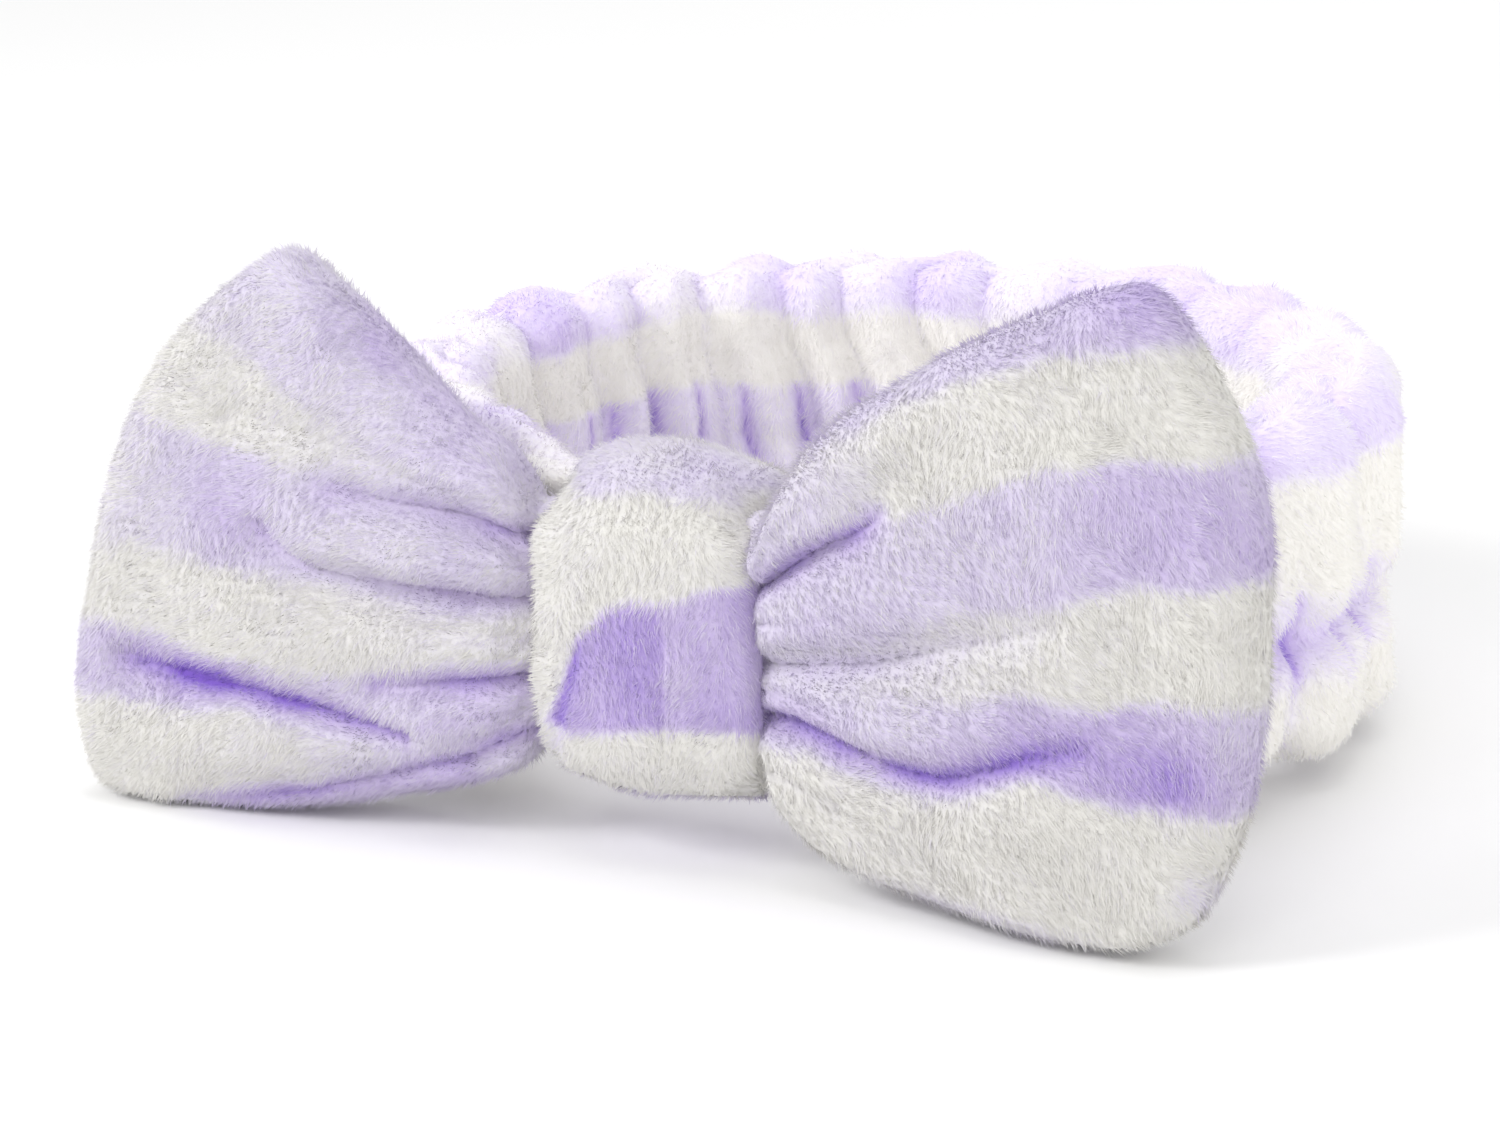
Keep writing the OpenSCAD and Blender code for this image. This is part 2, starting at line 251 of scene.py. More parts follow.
def fibre_material(name, light, dark, scale, stretch=(1, 1, 1), bump_mm=0.2):
    """Fine textile grain for what is inside: wadding, elastic and thread."""
    m, nt, p = new_material(name)
    n, ln = nt.nodes, nt.links
    coord = n.new("ShaderNodeTexCoord")
    mp = n.new("ShaderNodeMapping")
    mp.inputs["Scale"].default_value = stretch
    ln.new(coord.outputs["Object"], mp.inputs["Vector"])
    tex = n.new("ShaderNodeTexNoise")
    tex.inputs["Scale"].default_value = scale
    tex.inputs["Detail"].default_value = 5.0
    ln.new(mp.outputs[0], tex.inputs["Vector"])
    ramp = n.new("ShaderNodeValToRGB")
    ramp.color_ramp.elements[0].color = srgb(*dark)
    ramp.color_ramp.elements[0].position = 0.35
    ramp.color_ramp.elements[1].color = srgb(*light)
    ramp.color_ramp.elements[1].position = 0.65
    ln.new(tex.outputs["Fac"], ramp.inputs[0])
    ln.new(ramp.outputs[0], p.inputs["Base Color"])
    bump = n.new("ShaderNodeBump")
    bump.inputs["Strength"].default_value = 0.6
    bump.inputs["Distance"].default_value = bump_mm * MM
    ln.new(tex.outputs["Fac"], bump.inputs["Height"])
    ln.new(bump.outputs[0], p.inputs["Normal"])
    p.inputs["Roughness"].default_value = 0.9
    return m


def elastic_material(name):
    """Knitted elastic: fine ribs across its height and a loose crosswise grain."""
    m, nt, p = new_material(name)
    n, ln = nt.nodes, nt.links
    coord = n.new("ShaderNodeTexCoord")
    wave = n.new("ShaderNodeTexWave")
    wave.bands_direction = "Z"
    wave.inputs["Scale"].default_value = 240.0
    wave.inputs["Distortion"].default_value = 0.6
    wave.inputs["Detail"].default_value = 2.0
    ln.new(coord.outputs["Object"], wave.inputs["Vector"])
    ramp = n.new("ShaderNodeValToRGB")
    ramp.color_ramp.elements[0].color = srgb(222, 220, 214)
    ramp.color_ramp.elements[1].color = srgb(248, 247, 243)
    ln.new(wave.outputs["Fac"], ramp.inputs[0])
    ln.new(ramp.outputs[0], p.inputs["Base Color"])
    bump = n.new("ShaderNodeBump")
    bump.inputs["Distance"].default_value = 0.0003
    ln.new(wave.outputs["Fac"], bump.inputs["Height"])
    ln.new(bump.outputs[0], p.inputs["Normal"])
    p.inputs["Roughness"].default_value = 0.75
    return m


# the band's fleece is painted lighter and the bow's and knot's darker, as painted light and painted shade
MAT_BAND = fleece_material("band_fleece", 1, BAND_PAINTED_LIGHT_GAIN)
MAT_BOW = fleece_material("bow_fleece", 2, BOW_PAINTED_SHADE_GAIN)
MAT_KNOT = fleece_material("knot_fleece", 3, BOW_PAINTED_SHADE_GAIN)
MAT_WAD = fibre_material("polyester_wadding", (250, 250, 248), (226, 226, 226), 260.0, (1, 1, 1), 0.5)
MAT_THREAD = fibre_material("spun_thread", (238, 232, 246), (206, 196, 226), 1500.0, (1, 1, 1), 0.1)
MAT_ELASTIC = elastic_material("knitted_elastic")


# ------------------------------------------------------------------ meshes
def make_mesh(name, verts_mm, faces, material=None, tone=None):
    """An object from points in millimetres, with quads or triangles, and its tone attribute."""
    v = np.asarray(verts_mm, float).copy()
    v[:, 1] += RY
    me = bpy.data.meshes.new(name)
    f = np.asarray(faces, np.int32)
    me.vertices.add(len(v))
    me.vertices.foreach_set("co", (v * MM).astype(np.float32).ravel())
    me.loops.add(f.size)
    me.loops.foreach_set("vertex_index", f.ravel())
    me.polygons.add(len(f))
    me.polygons.foreach_set("loop_start", np.arange(0, f.size, f.shape[1], dtype=np.int32))
    me.update(calc_edges=True)
    me.validate()
    me.polygons.foreach_set("use_smooth", np.ones(len(me.polygons), bool))
    if tone is not None:
        a = me.attributes.new("tone", "FLOAT", "POINT")
        a.data.foreach_set("value", np.asarray(tone, np.float32))
    o = bpy.data.objects.new(name, me)
    bpy.context.scene.collection.objects.link(o)
    if material is not None:
        me.materials.append(material)
    return o


def torus_faces(n, m, closed_n=True):
    i = np.arange(n if closed_n else n - 1)
    j = np.arange(m)
    a, b = np.meshgrid(i, j, indexing="ij")
    a2, b2 = (a + 1) % n, (b + 1) % m
    return np.stack([a * m + b, a2 * m + b, a2 * m + b2, a * m + b2], -1).reshape(-1, 4)


def vertex_normals(v, f):
    """Smooth normals of a mesh given as arrays."""
    if f.shape[1] == 4:
        n = np.cross(v[f[:, 2]] - v[f[:, 0]], v[f[:, 3]] - v[f[:, 1]])
    else:
        n = np.cross(v[f[:, 1]] - v[f[:, 0]], v[f[:, 2]] - v[f[:, 0]])
    out = np.zeros_like(v)
    for k in range(f.shape[1]):
        for c in range(3):
            out[:, c] += np.bincount(f[:, k], n[:, c], minlength=len(v))
    return out / np.maximum(np.linalg.norm(out, axis=1), 1e-12)[:, None]


class Skin:
    """A fleece surface in millimetres: points, quads, tone (print with painted crease shade), and which part may carry
    pile.
    """

    def __init__(self, v, f, tone, hairy=None, nap=None):
        self.v, self.f, self.tone = v, f, tone
        self.hairy = np.ones(len(v)) if hairy is None else hairy
        self.nap = np.ones(len(v)) if nap is None else nap
        self.n = vertex_normals(v, f)


def tuft_relief(skin, amount, seed):
    """Small tufts: moves the skin along its normals."""
    r = fbm(skin.v, 2.6, seed, 3) * 0.75 + noise(skin.v, 1.1, seed + 5) * 0.35
    skin.v = skin.v + skin.n * (r * amount)[:, None]
    skin.n = vertex_normals(skin.v, skin.f)


# ------------------------------------------------------------------ pile
def grow_pile(name, skin, count, seed, length, comb, cloth="bow", body=None, blend=None, part=None, width=0.12, clump=1.9):
    """Real pile: thin closed spikes rooted in the skin, leaning the way the cloth is brushed and drawn together in tufts.
    comb(points, normals) gives the way it lies. part(points) picks the points that carry this piece's share."""
    rng = np.random.default_rng(seed)
    v, f = skin.v, skin.f
    t = np.concatenate([f[:, [0, 1, 2]], f[:, [0, 2, 3]]])
    area = np.linalg.norm(np.cross(v[t[:, 1]] - v[t[:, 0]], v[t[:, 2]] - v[t[:, 0]]), axis=1) / 2
    weight = area * skin.hairy[t].mean(1)
    if part is not None:
        weight = weight * part(v[t].mean(1))
    cum = np.cumsum(weight)
    pick = np.searchsorted(cum, (np.arange(count) + rng.random(count)) / count * cum[-1])
    pick = np.minimum(pick, len(t) - 1)
    a, b = rng.random(count), rng.random(count)
    flip = a + b > 1
    a[flip], b[flip] = 1 - a[flip], 1 - b[flip]
    w = np.stack([1 - a - b, a, b], 1)[:, :, None]
    tri = t[pick]
    root = (v[tri] * w).sum(1)
    nor = (skin.n[tri] * w).sum(1)
    nor /= np.maximum(np.linalg.norm(nor, axis=1), 1e-9)[:, None]
    tone = (skin.tone[tri] * w[:, :, 0]).sum(1)
    lie = comb(root, nor)
    lie = lie - (lie * nor).sum(1)[:, None] * nor
    lie /= np.maximum(np.linalg.norm(lie, axis=1), 1e-6)[:, None]
    side = np.cross(nor, lie)
    # tufts: fibres of one cell lean towards that cell's own point
    cell = np.floor(root / clump + noise(root, 3.1, seed)[:, None] * 0.6)
    ci = cell.astype(np.int64)
    off = np.stack([hash3(ci[:, 0], ci[:, 1], ci[:, 2], seed + s) for s in (1, 2, 3)], 1)
    centre = (cell + 0.5 + 0.3 * off) * clump
    pull = centre - root
    pull -= (pull * nor).sum(1)[:, None] * nor
    swirl = noise(root, 7.0, seed + 31) * 0.9
    lean = (0.85 + 0.25 * noise(root, 4.0, seed + 9))[:, None]
    d = nor * 0.42 + (lie * np.cos(swirl)[:, None] + side * np.sin(swirl)[:, None]) * lean
    d += rng.normal(0, 0.16, (count, 3))
    d /= np.linalg.norm(d, axis=1)[:, None]
    long = length * (0.72 + 0.5 * rng.random(count)) * (skin.nap[tri] * w[:, :, 0]).sum(1)
    tip = root + d * long[:, None] + pull * 0.42
    base = root - nor * 0.30
    # a thin three-sided spike, closed at its root
    across = np.cross(d, nor)
    across /= np.maximum(np.linalg.norm(across, axis=1), 1e-6)[:, None]
    up = np.cross(across, d)
    wdt = width * (0.75 + 0.5 * rng.random(count))[:, None]
    p0 = base + across * wdt
    p1 = base - across * wdt
    p2 = base + up * wdt * 0.45 + d * 0.15
    verts = np.stack([p0, p1, p2, tip], 1).reshape(-1, 3)
    k = np.arange(count)[:, None] * 4
    faces = np.concatenate([k + np.array([[0, 2, 1]]), k + np.array([[0, 1, 3]]), k + np.array([[1, 2, 3]]), k + np.array([[2, 0, 3]])], 1).reshape(-1, 3)
    verts[:, 2] = np.maximum(verts[:, 2], 0.15)
    o = make_mesh(name, verts, faces)
    me = o.data
    for m in PILE_MATS[cloth]:
        me.materials.append(m)
    shade = tone * 0.88 + rng.normal(0, 0.05, count) + 0.08 * noise(root, 1.7, seed + 77) - 0.02
    idx = np.clip(np.round(shade * (PILE_STEPS - 1)), 0, PILE_STEPS - 1).astype(np.int32)
    if len(me.polygons) == 4 * count:
        me.polygons.foreach_set("material_index", np.repeat(idx, 4))
    # each face is shaded between its own normal and the cloth's, never turned away from itself
    if len(me.polygons) == 4 * count:
        fn = np.empty(len(me.polygons) * 3, np.float32)
        me.polygons.foreach_get("normal", fn)
        fn = fn.reshape(-1, 3).astype(float)
        under = np.repeat(nor, 4, axis=0)
        facing = (fn * under).sum(1)
        mix = fn * 0.85 + under * np.where(facing > 0, 1.0, 0.30)[:, None]
        mix /= np.linalg.norm(mix, axis=1)[:, None]
        me.normals_split_custom_set(np.repeat(mix, 3, axis=0).astype(np.float32))
    if blend is not None:
        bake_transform(o)
    else:
        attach(o, body)
    return o


# ------------------------------------------------------------------ ring path
def build_path():
    xs = np.linspace(0, FRONT_X, 300)
    w = smooth((xs - 14) / (FRONT_X - 14))
    y = lerp(-FLAT_Y, -np.sqrt(RING_R ** 2 - xs ** 2), w)
    right = np.stack([xs, y], 1)
    ang = np.radians(np.linspace(-60, 240, 1800))
    arc = np.stack([RING_R * np.cos(ang), RING_R * np.sin(ang)], 1)
    left = right[::-1] * np.array([-1, 1])
    p = np.concatenate([right[:-1], arc, left[1:]])
    seg = np.linalg.norm(np.diff(p, axis=0), axis=1)
    u = np.concatenate([[0], np.cumsum(seg)])
    return p, u


PATH, PATH_U = build_path()
PATH_L = PATH_U[-1]


def path_at(u):
    u = np.mod(u, PATH_L)
    x, y = np.interp(u, PATH_U, PATH[:, 0]), np.interp(u, PATH_U, PATH[:, 1])
    e = 1.0
    x2, y2 = np.interp(np.mod(u + e, PATH_L), PATH_U, PATH[:, 0]), np.interp(np.mod(u + e, PATH_L), PATH_U, PATH[:, 1])
    x1, y1 = np.interp(np.mod(u - e, PATH_L), PATH_U, PATH[:, 0]), np.interp(np.mod(u - e, PATH_L), PATH_U, PATH[:, 1])
    t = np.stack([x2 - x1, y2 - y1], 1)
    t /= np.linalg.norm(t, axis=1)[:, None]
    n = np.stack([t[:, 1], -t[:, 0]], 1)
    s = np.where(y < -40, smooth((np.abs(x) - FLAT_X) / (FRONT_X - FLAT_X)), 1.0)
    return np.stack([x, y], 1), n, s


def puffs(u, edges, power=2.1):
    """Rounded gathers between irregular creases: 1 on a puff, 0 in a crease, round the ring."""
    L = PATH_L
    u = np.mod(u, L)
    k = np.clip(np.searchsorted(edges, u, side="right") - 1, 0, len(edges) - 2)
    a, b = edges[k], edges[k + 1]
    t = (u - a) / (b - a)
    return 1 - np.abs(2 * t - 1) ** power, (b - a), k


def irregular(lo, hi, seed):
    rng = np.random.default_rng(seed)
    e = [0.0]
    while e[-1] < PATH_L - lo:
        e.append(e[-1] + lo + (hi - lo) * rng.random())
    e = np.array(e)
    return e * PATH_L / e[-1]


FINE = irregular(8.0, 14.0, 5)
COARSE_OUT = irregular(15, 27, 8)
COARSE_IN = irregular(10, 18, 13)
FINE_IN = irregular(7, 12, 21)


def section_loop(m_side, m_corner, m_flat):
    """The tube's section as a list of (kind, t): outer side up, top, inner side down, bottom."""
    out = []
    for t in np.linspace(0, 1, m_side, endpoint=False):
        out.append((0, t))
    for t in np.linspace(0, 1, m_corner, endpoint=False):
        out.append((1, t))
    for t in np.linspace(0, 1, m_flat, endpoint=False):
        out.append((2, t))
    for t in np.linspace(0, 1, m_corner, endpoint=False):
        out.append((3, t))
    for t in np.linspace(0, 1, m_side, endpoint=False):
        out.append((4, t))
    for t in np.linspace(0, 1, m_corner, endpoint=False):
        out.append((5, t))
    for t in np.linspace(0, 1, m_flat, endpoint=False):
        out.append((6, t))
    for t in np.linspace(0, 1, m_corner, endpoint=False):
        out.append((7, t))
    return np.array(out)


def band_skin(n_u, sec, relief=True, inset=0.0):
    kind, tt = sec[:, 0].astype(int), sec[:, 1]
    m = len(sec)
    u = np.arange(n_u) / n_u * PATH_L
    c, n, s = path_at(u)
    y = c[:, 1]
    ht = lerp(4.8, 7.9 + 0.8 * smooth(c[:, 0] / 50.0), s) - inset
    lift = np.clip(9.0 * (RING_R - y) / (2 * RING_R), 0, 9.0)
    z0 = lerp(KNOT_Z0 + 4.7, lift, s) + inset
    z1 = lerp(KNOT_Z1 - 6.0, BAND_H - 0.2 + 1.8 * smooth(c[:, 0] / 40.0 + 0.3), s) - inset
    r = np.minimum(ht - 0.1, lerp(4.4, 7.2, s) - inset * 0.8)
    U = np.repeat(u, m)
    HT, Z0, Z1, R, S = (np.repeat(a, m) for a in (ht, z0, z1, r, s))
    K, T = np.tile(kind, n_u), np.tile(tt, n_u)
    off, z, no, nz = (np.zeros(len(U)) for _ in range(4))
    ang = T * math.pi / 2
    q = K == 0
    off[q], z[q], no[q] = HT[q], lerp(Z0 + R, Z1 - R, T)[q], 1
    q = K == 1
    no[q], nz[q] = np.cos(ang)[q], np.sin(ang)[q]
    off[q], z[q] = (HT - R)[q] + R[q] * no[q], (Z1 - R)[q] + R[q] * nz[q]
    q = K == 2
    off[q], z[q], nz[q] = lerp(HT - R, -(HT - R), T)[q], Z1[q], 1
    q = K == 3
    no[q], nz[q] = -np.sin(ang)[q], np.cos(ang)[q]
    off[q], z[q] = -(HT - R)[q] + R[q] * no[q], (Z1 - R)[q] + R[q] * nz[q]
    q = K == 4
    off[q], z[q], no[q] = -HT[q], lerp(Z1 - R, Z0 + R, T)[q], -1
    q = K == 5
    no[q], nz[q] = -np.cos(ang)[q], -np.sin(ang)[q]
    off[q], z[q] = -(HT - R)[q] + R[q] * no[q], (Z0 + R)[q] + R[q] * nz[q]
    q = K == 6
    off[q], z[q], nz[q] = lerp(-(HT - R), HT - R, T)[q], Z0[q], -1
    q = K == 7
    no[q], nz[q] = np.sin(ang)[q], -np.cos(ang)[q]
    off[q], z[q] = (HT - R)[q] + R[q] * no[q], (Z0 + R)[q] + R[q] * nz[q]
    C, N = np.repeat(c, m, 0), np.repeat(n, m, 0)
    pos = np.stack([C[:, 0] + N[:, 0] * off, C[:, 1] + N[:, 1] * off, z], 1)
    nor = np.stack([N[:, 0] * no, N[:, 1] * no, nz], 1)
    nor /= np.maximum(np.linalg.norm(nor, axis=1), 1e-6)[:, None]
    tone = np.zeros(len(U))
    if relief:
        outer = smooth(0.5 + off / 6.0)                 # 1 on the outside, 0 on the inside
        # where the elastic draws the tube in
        line = lerp(28.0, 25.8 + 1.5 * np.sin(U / 23.0), outer)
        de = np.abs(z - line)
        warp = 2.6 * noise(np.stack([U * 0.4, z, off * 0], 1), 13.0, 3) + np.clip(z - line, -30, 17) * lerp(-0.36, 0.06, outer)
        fo, _, ko = puffs(U + warp, FINE)
        fi, _, ki = puffs(U + warp, FINE_IN)
        go, _, _ = puffs(U + warp * 1.2 + 0.12 * (z - line), COARSE_OUT, 1.6)
        gi, _, _ = puffs(U + warp * 1.1, COARSE_IN, 1.6)
        fine, coarse = lerp(fi, fo, outer), lerp(gi, go, outer)
        near_el = np.exp(-(de / 13.0) ** 2)
        vary = 0.75 + 0.5 * noise(np.stack([U, z, off], 1), 17.0, 11)
        flat = np.abs(no)
        amp_f = 4.6 * near_el * vary * S * lerp(0.75, 1.0, outer)
        amp_c = lerp(2.3 + 1.0 * near_el, 1.6 + 2.8 * (1 - near_el), outer) * S * (0.8 + 0.3 * vary)
        crease = 4.2 * np.exp(-(de / 3.6) ** 2) * np.abs(no) * S * lerp(0.40, 1.0, outer)
        d = amp_f * (fine - 0.75) + amp_c * (coarse - 0.62) * 1.2 - crease
        d = d * lerp(0.68, 1.0, flat)
        small = 0.8 * noise(np.stack([U, z, off], 1), 5.0, 41) * S
        pos = pos + nor * (d + small * 0.6)[:, None]
        # the squeezed front has tight small pleats that run along the band
        pos = pos + nor * ((1 - S) * 0.5 * np.sin(z * 1.1 + 1.5 * np.sin(U / 9)))[:, None]
        # printed stripes, wavy along the ring
        zz = z + 2.2 * noise(np.stack([U, z * 0.3, off * 0.2], 1), 19.0, 51) + 1.0 * noise(pos, 6.0, 52)
        zz = zz - lift.repeat(m) * 0.35
        top = smooth((zz - 47.5) / 4.0)
        mid = smooth((zz - 14.0) / 3.5) * (1 - smooth((zz - lerp(36.0, 29.5, outer)) / 3.0))
        low = 1 - smooth((zz - 3.0) / 3.5)
        wash = 0.5 + 0.5 * noise(np.stack([U, z, off], 1), 22.0, 61)
        tone = top * (0.33 + 0.14 * wash) + mid * lerp(0.17 + 0.16 * wash, 0.13 + 0.09 * wash, outer) + low * (0.06 + 0.20 * wash)
        # the far side's rim breaks into white here and there
        tone = tone * lerp(1.0, 0.75 + 0.5 * noise(np.stack([U, z * 0, off * 0], 1), 16.0, 71), top * 0.8)
        # painted shade: the pits between the gathers near the elastic and the crease the elastic draws in are coloured
        # deeper purple
        pit = np.clip(1 - fine, 0, 1) ** lerp(2.4, 4.0, outer) * near_el
        tone = tone + np.maximum(mid, outer * near_el * 0.8) * pit * lerp(0.62, 0.75, outer) + 0.36 * np.exp(-(de / 2.6) ** 2) * outer * flat * (0.4 + 0.6 * wash)
        # painted shade in the valleys between the coarse folds, plus random tone
        tone = tone + 0.12 * np.clip(1 - coarse, 0, 1) ** 4 * S + 0.06 * noise(pos, 9.0, 81) - 0.03
    pos[:, 2] = np.maximum(pos[:, 2], 0.35)
    return Skin(pos, torus_faces(n_u, m), tone)


# ------------------------------------------------------------------ wings
RIGHT = dict(
    swell=4.2,
    edge=[(79, 1.5), (86.5, 8), (92.0, 22), (94.0, 40), (92.5, 58), (86.5, 77), (76, 92.4)],
    foot=[(19, 15.2), (20.6, 11.0), (25, 7.2), (31.5, 4.4), (40.8, 2.5), (53, 1.4), (65, 0.9), (79, 1.5)],
    crest=[(19, 53.5), (21.0, 59.0), (24, 64.2), (30, 70.0), (37.4, 74.8), (44.6, 79.4), (51.8, 83.2), (60, 87.2), (67.4, 90.4), (76, 92.4)],
    sweep=5.0,
    creases=[
        # points (out, up), depth at the knot and at the end, width, height of the roll above it, tone of the painted
        # shade in the crease
        dict(p=[(15, 43.5), (18.5, 44.5), (22, 47), (28, 51.5), (34, 55), (40, 60)], d=(6.0, 1.2), w=4.0, lip=3.2, tone=0.26),
        dict(p=[(15, 32.5), (22, 33), (29, 34.4), (39, 37), (51, 41.5), (68, 47)], d=(6.0, 1.3), w=4.8, lip=1.6, tone=0.09),
        dict(p=[(15, 24.5), (22, 25), (28, 24.4), (35, 23), (41.5, 22), (48, 22.2), (55, 24.6), (63, 28), (72, 30.5)], d=(5.8, 1.2), w=4.6, lip=2.0, tone=0.40),
        dict(p=[(15, 28.6), (22, 28.8), (30, 28.4), (38, 28.6)], d=(2.2, 0.0), w=2.6, lip=0.3, tone=0.05),
        dict(p=[(15, 38.5), (24, 40.5), (34, 43.5)], d=(2.4, 0.0), w=3.2, lip=0.4, tone=0.04),
        dict(p=[(15, 49.5), (20, 52), (27, 57.5), (35, 62)], d=(1.0, 0.2), w=3.6, lip=0.2, tone=0.03),
        dict(p=[(15, 19.0), (23, 17.0), (33, 13.0)], d=(2.0, 0.0), w=3.0, lip=0.4, tone=0.03),
    ],
    # places where the cloth stands proud: centre, radii, height, slope
    puffs=[((30, 45), (14, 6), 1.6, 0.1), ((34, 27), (14, 5), 1.6, 0.0), ((29, 60), (10, 5), 1.8, 0.75), ((64, 15), (16, 7), 1.2, 0.0)],
    # how high each stripe's lower border runs, at seven places from the knot to the outer end, and each stripe's tone there
    at=[18, 28, 38, 50, 63, 77, 92],
    borders=[[62, 66, 72, 77.5, 82, 85, 86.5], [50, 54.5, 57, 62, 67.3, 70.5, 71], [34.5, 38, 40, 45, 49.5, 53, 55],
             [30, 31, 33, 33.5, 35.8, 37.5, 38.5], [22, 21.5, 19.2, 20, 24.3, 23.2, 23.0], [5, 5, 5, 5, 4.5, 3, 2]],
    tones=[[.27, .26, .28, .30, .36, .46, .28], [.27, .20, .06, .03, .00, .00, .01], [.27, .30, .30, .28, .31, .43, .40],
           [.20, .18, .17, .14, .05, .00, .00], [.27, .27, .29, .38, .46, .50, .34], [.02, .02, .03, .02, .00, .00, .01],
           [.10, .14, .16, .20, .18, .12, .08]],
    patches=[((72, 90), (8, 4), 0.14), ((82, 27), (9, 4.5), 0.22), ((66, 30), (9, 3), 0.14), ((54, 27), (8, 2.5), 0.10), ((35, 62), (3.0, 8), 0.06), ((87, 11), (3.5, 4), 0.26)],
)
LEFT = dict(
    swell=9.0,
    edge=[(89.5, 1.2), (92.6, 8), (92.4, 20), (91.0, 34), (88.4, 48), (82.8, 62), (73.5, 75.0), (61, 84.8)],
    foot=[(19, 15.2), (20.6, 11.8), (25, 9.2), (29, 7.7), (39, 5.0), (51, 2.2), (63, 0.9), (75, 0.5), (89.5, 1.2)],
    crest=[(19, 51.5), (21.0, 55.4), (24, 58.8), (29.3, 61.6), (36, 67.2), (42, 72.8), (50, 79.6), (56, 83.8), (61, 84.8)],
    sweep=5.0,
    creases=[
        dict(p=[(15, 57), (18, 58), (21, 60), (28, 63), (34, 65.5), (41, 70), (47, 75.5)], d=(3.6, 0.6), w=3.8, lip=1.2, tone=0.10),
        dict(p=[(15, 45.5), (21, 46.8), (28, 49), (34, 49.8), (41, 50.6), (47, 51.6), (54, 52.5)], d=(6.0, 1.0), w=4.6, lip=2.4, tone=0.20),
        dict(p=[(15, 37.2), (21, 37.3), (28, 37.8), (34, 38.0), (41, 38.4), (48, 38.8), (54, 40.8), (58, 44.0), (59, 48)], d=(5.0, 1.8), w=4.2, lip=2.0, tone=0.14),
        dict(p=[(15, 26.0), (21, 26.2), (28, 25.4), (36, 24.2), (44, 23.4)], d=(4.6, 0.0), w=3.8, lip=1.3, tone=0.22),
        dict(p=[(36, 16.0), (43, 17.2), (54, 19.4), (64, 20.8), (74, 21.8), (86, 23.4)], d=(2.0, 1.8), w=3.8, lip=1.6, tone=0.36),
        dict(p=[(15, 18.5), (21, 17.0), (28, 13.2), (34, 11.4), (41, 9.0), (47, 7.4), (54, 5.4), (67, 3.0), (76, 2.2)], d=(4.4, 1.0), w=3.6, lip=1.4, tone=0.22),
        dict(p=[(15, 31.8), (24, 31.6), (34, 31.2)], d=(2.0, 0.0), w=2.8, lip=0.3, tone=0.04),
        dict(p=[(15, 51.5), (24, 52.4), (34, 54), (46, 57.5), (58, 60), (68, 61)], d=(2.4, 1.0), w=8.5, lip=0.0, tone=0.0),
        dict(p=[(15, 42.0), (22, 42.6), (30, 43.6)], d=(1.8, 0.0), w=2.6, lip=0.3, tone=0.04),
        dict(p=[(15, 21.6), (24, 20.8), (33, 19.0)], d=(2.0, 0.0), w=2.6, lip=0.4, tone=0.04),
    ],
    puffs=[((41, 44.8), (17, 5.2), 2.6, 0.16), ((30, 31), (13, 5), 1.6, 0.0), ((33, 57.5), (14, 3.6), 1.4, 0.45), ((50, 76), (10, 6), 1.6, 0.9),
           ((60, 11), (22, 6), 1.6, -0.05), ((29, 20), (12, 4), 1.6, -0.1)],
    at=[17, 28, 41, 54, 67, 80, 92],
    borders=[[60, 59, 58, 65, 73.2, 78, 82], [54, 55, 56, 55, 57, 61, 57], [36, 35, 35.4, 37.5, 39.8, 40, 40],
             [28.5, 28, 25.3, 24, 25.6, 28, 28.5], [14, 14, 16.0, 16.4, 17.6, 17, 16.5], [12, 11.5, 8.8, 6.6, 4.2, 2.0, 1.0]],
    tones=[[.36, .29, .27, .26, .24, .20, .12], [.34, .28, .20, .09, .06, .05, .06], [.27, .26, .23, .26, .36, .22, .12],
           [.10, .09, .08, .07, .05, .04, .04], [.36, .33, .28, .34, .44, .40, .30], [.26, .27, .22, .12, .05, .01, .00],
           [.40, .44, .40, .38, .30, .12, .06]],
    patches=[((63, 47), (6, 5), 0.16), ((44, 76), (7, 4), 0.12), ((28, 62), (6, 5), 0.06), ((70, 21.6), (10, 2.4), 0.34), ((56, 19.6), (6, 2.0), 0.22),
             ((86, 66), (6, 4), -0.06), ((18, 58), (3, 5), 0.20), ((18, 46), (3, 4), 0.14), ((24, 24.5), (8, 2.0), 0.10)],
)


def wing_outline(s, t, cfg):
    """Where a point of the wing lies, before any thickness: out from the middle and up."""
    edge, foot, crest = (catmull(cfg[k], 400) for k in ("edge", "foot", "crest"))
    w = np.linspace(0, 1, 400)
    ex, ez = np.interp(t, w, edge[:, 0]), np.interp(t, w, edge[:, 1])
    sr = s * (1 - 0.045 * np.abs(2 * t - 1) ** 9)
    x = lerp(HINGE_X, ex, sr)
    low = np.interp(lerp(HINGE_X, edge[0, 0], sr), foot[:, 0], foot[:, 1])
    high = np.interp(lerp(HINGE_X, edge[-1, 0], sr), crest[:, 0], crest[:, 1])
    h = lerp(t, (ez - edge[0, 1]) / (edge[-1, 1] - edge[0, 1]), sr ** 0.8)
    return x, lerp(low, high, h)


def printed(x, z, cfg, soft):
    """The stripes: white and lavender in turn from the top edge down."""
    out = np.interp(x, cfg["at"], cfg["tones"][0])
    for k, border in enumerate(cfg["borders"]):
        b = np.interp(x, cfg["at"], border)
        out = lerp(out, np.interp(x, cfg["at"], cfg["tones"][k + 1]), smooth((b - z) / soft + 0.5))
    return out


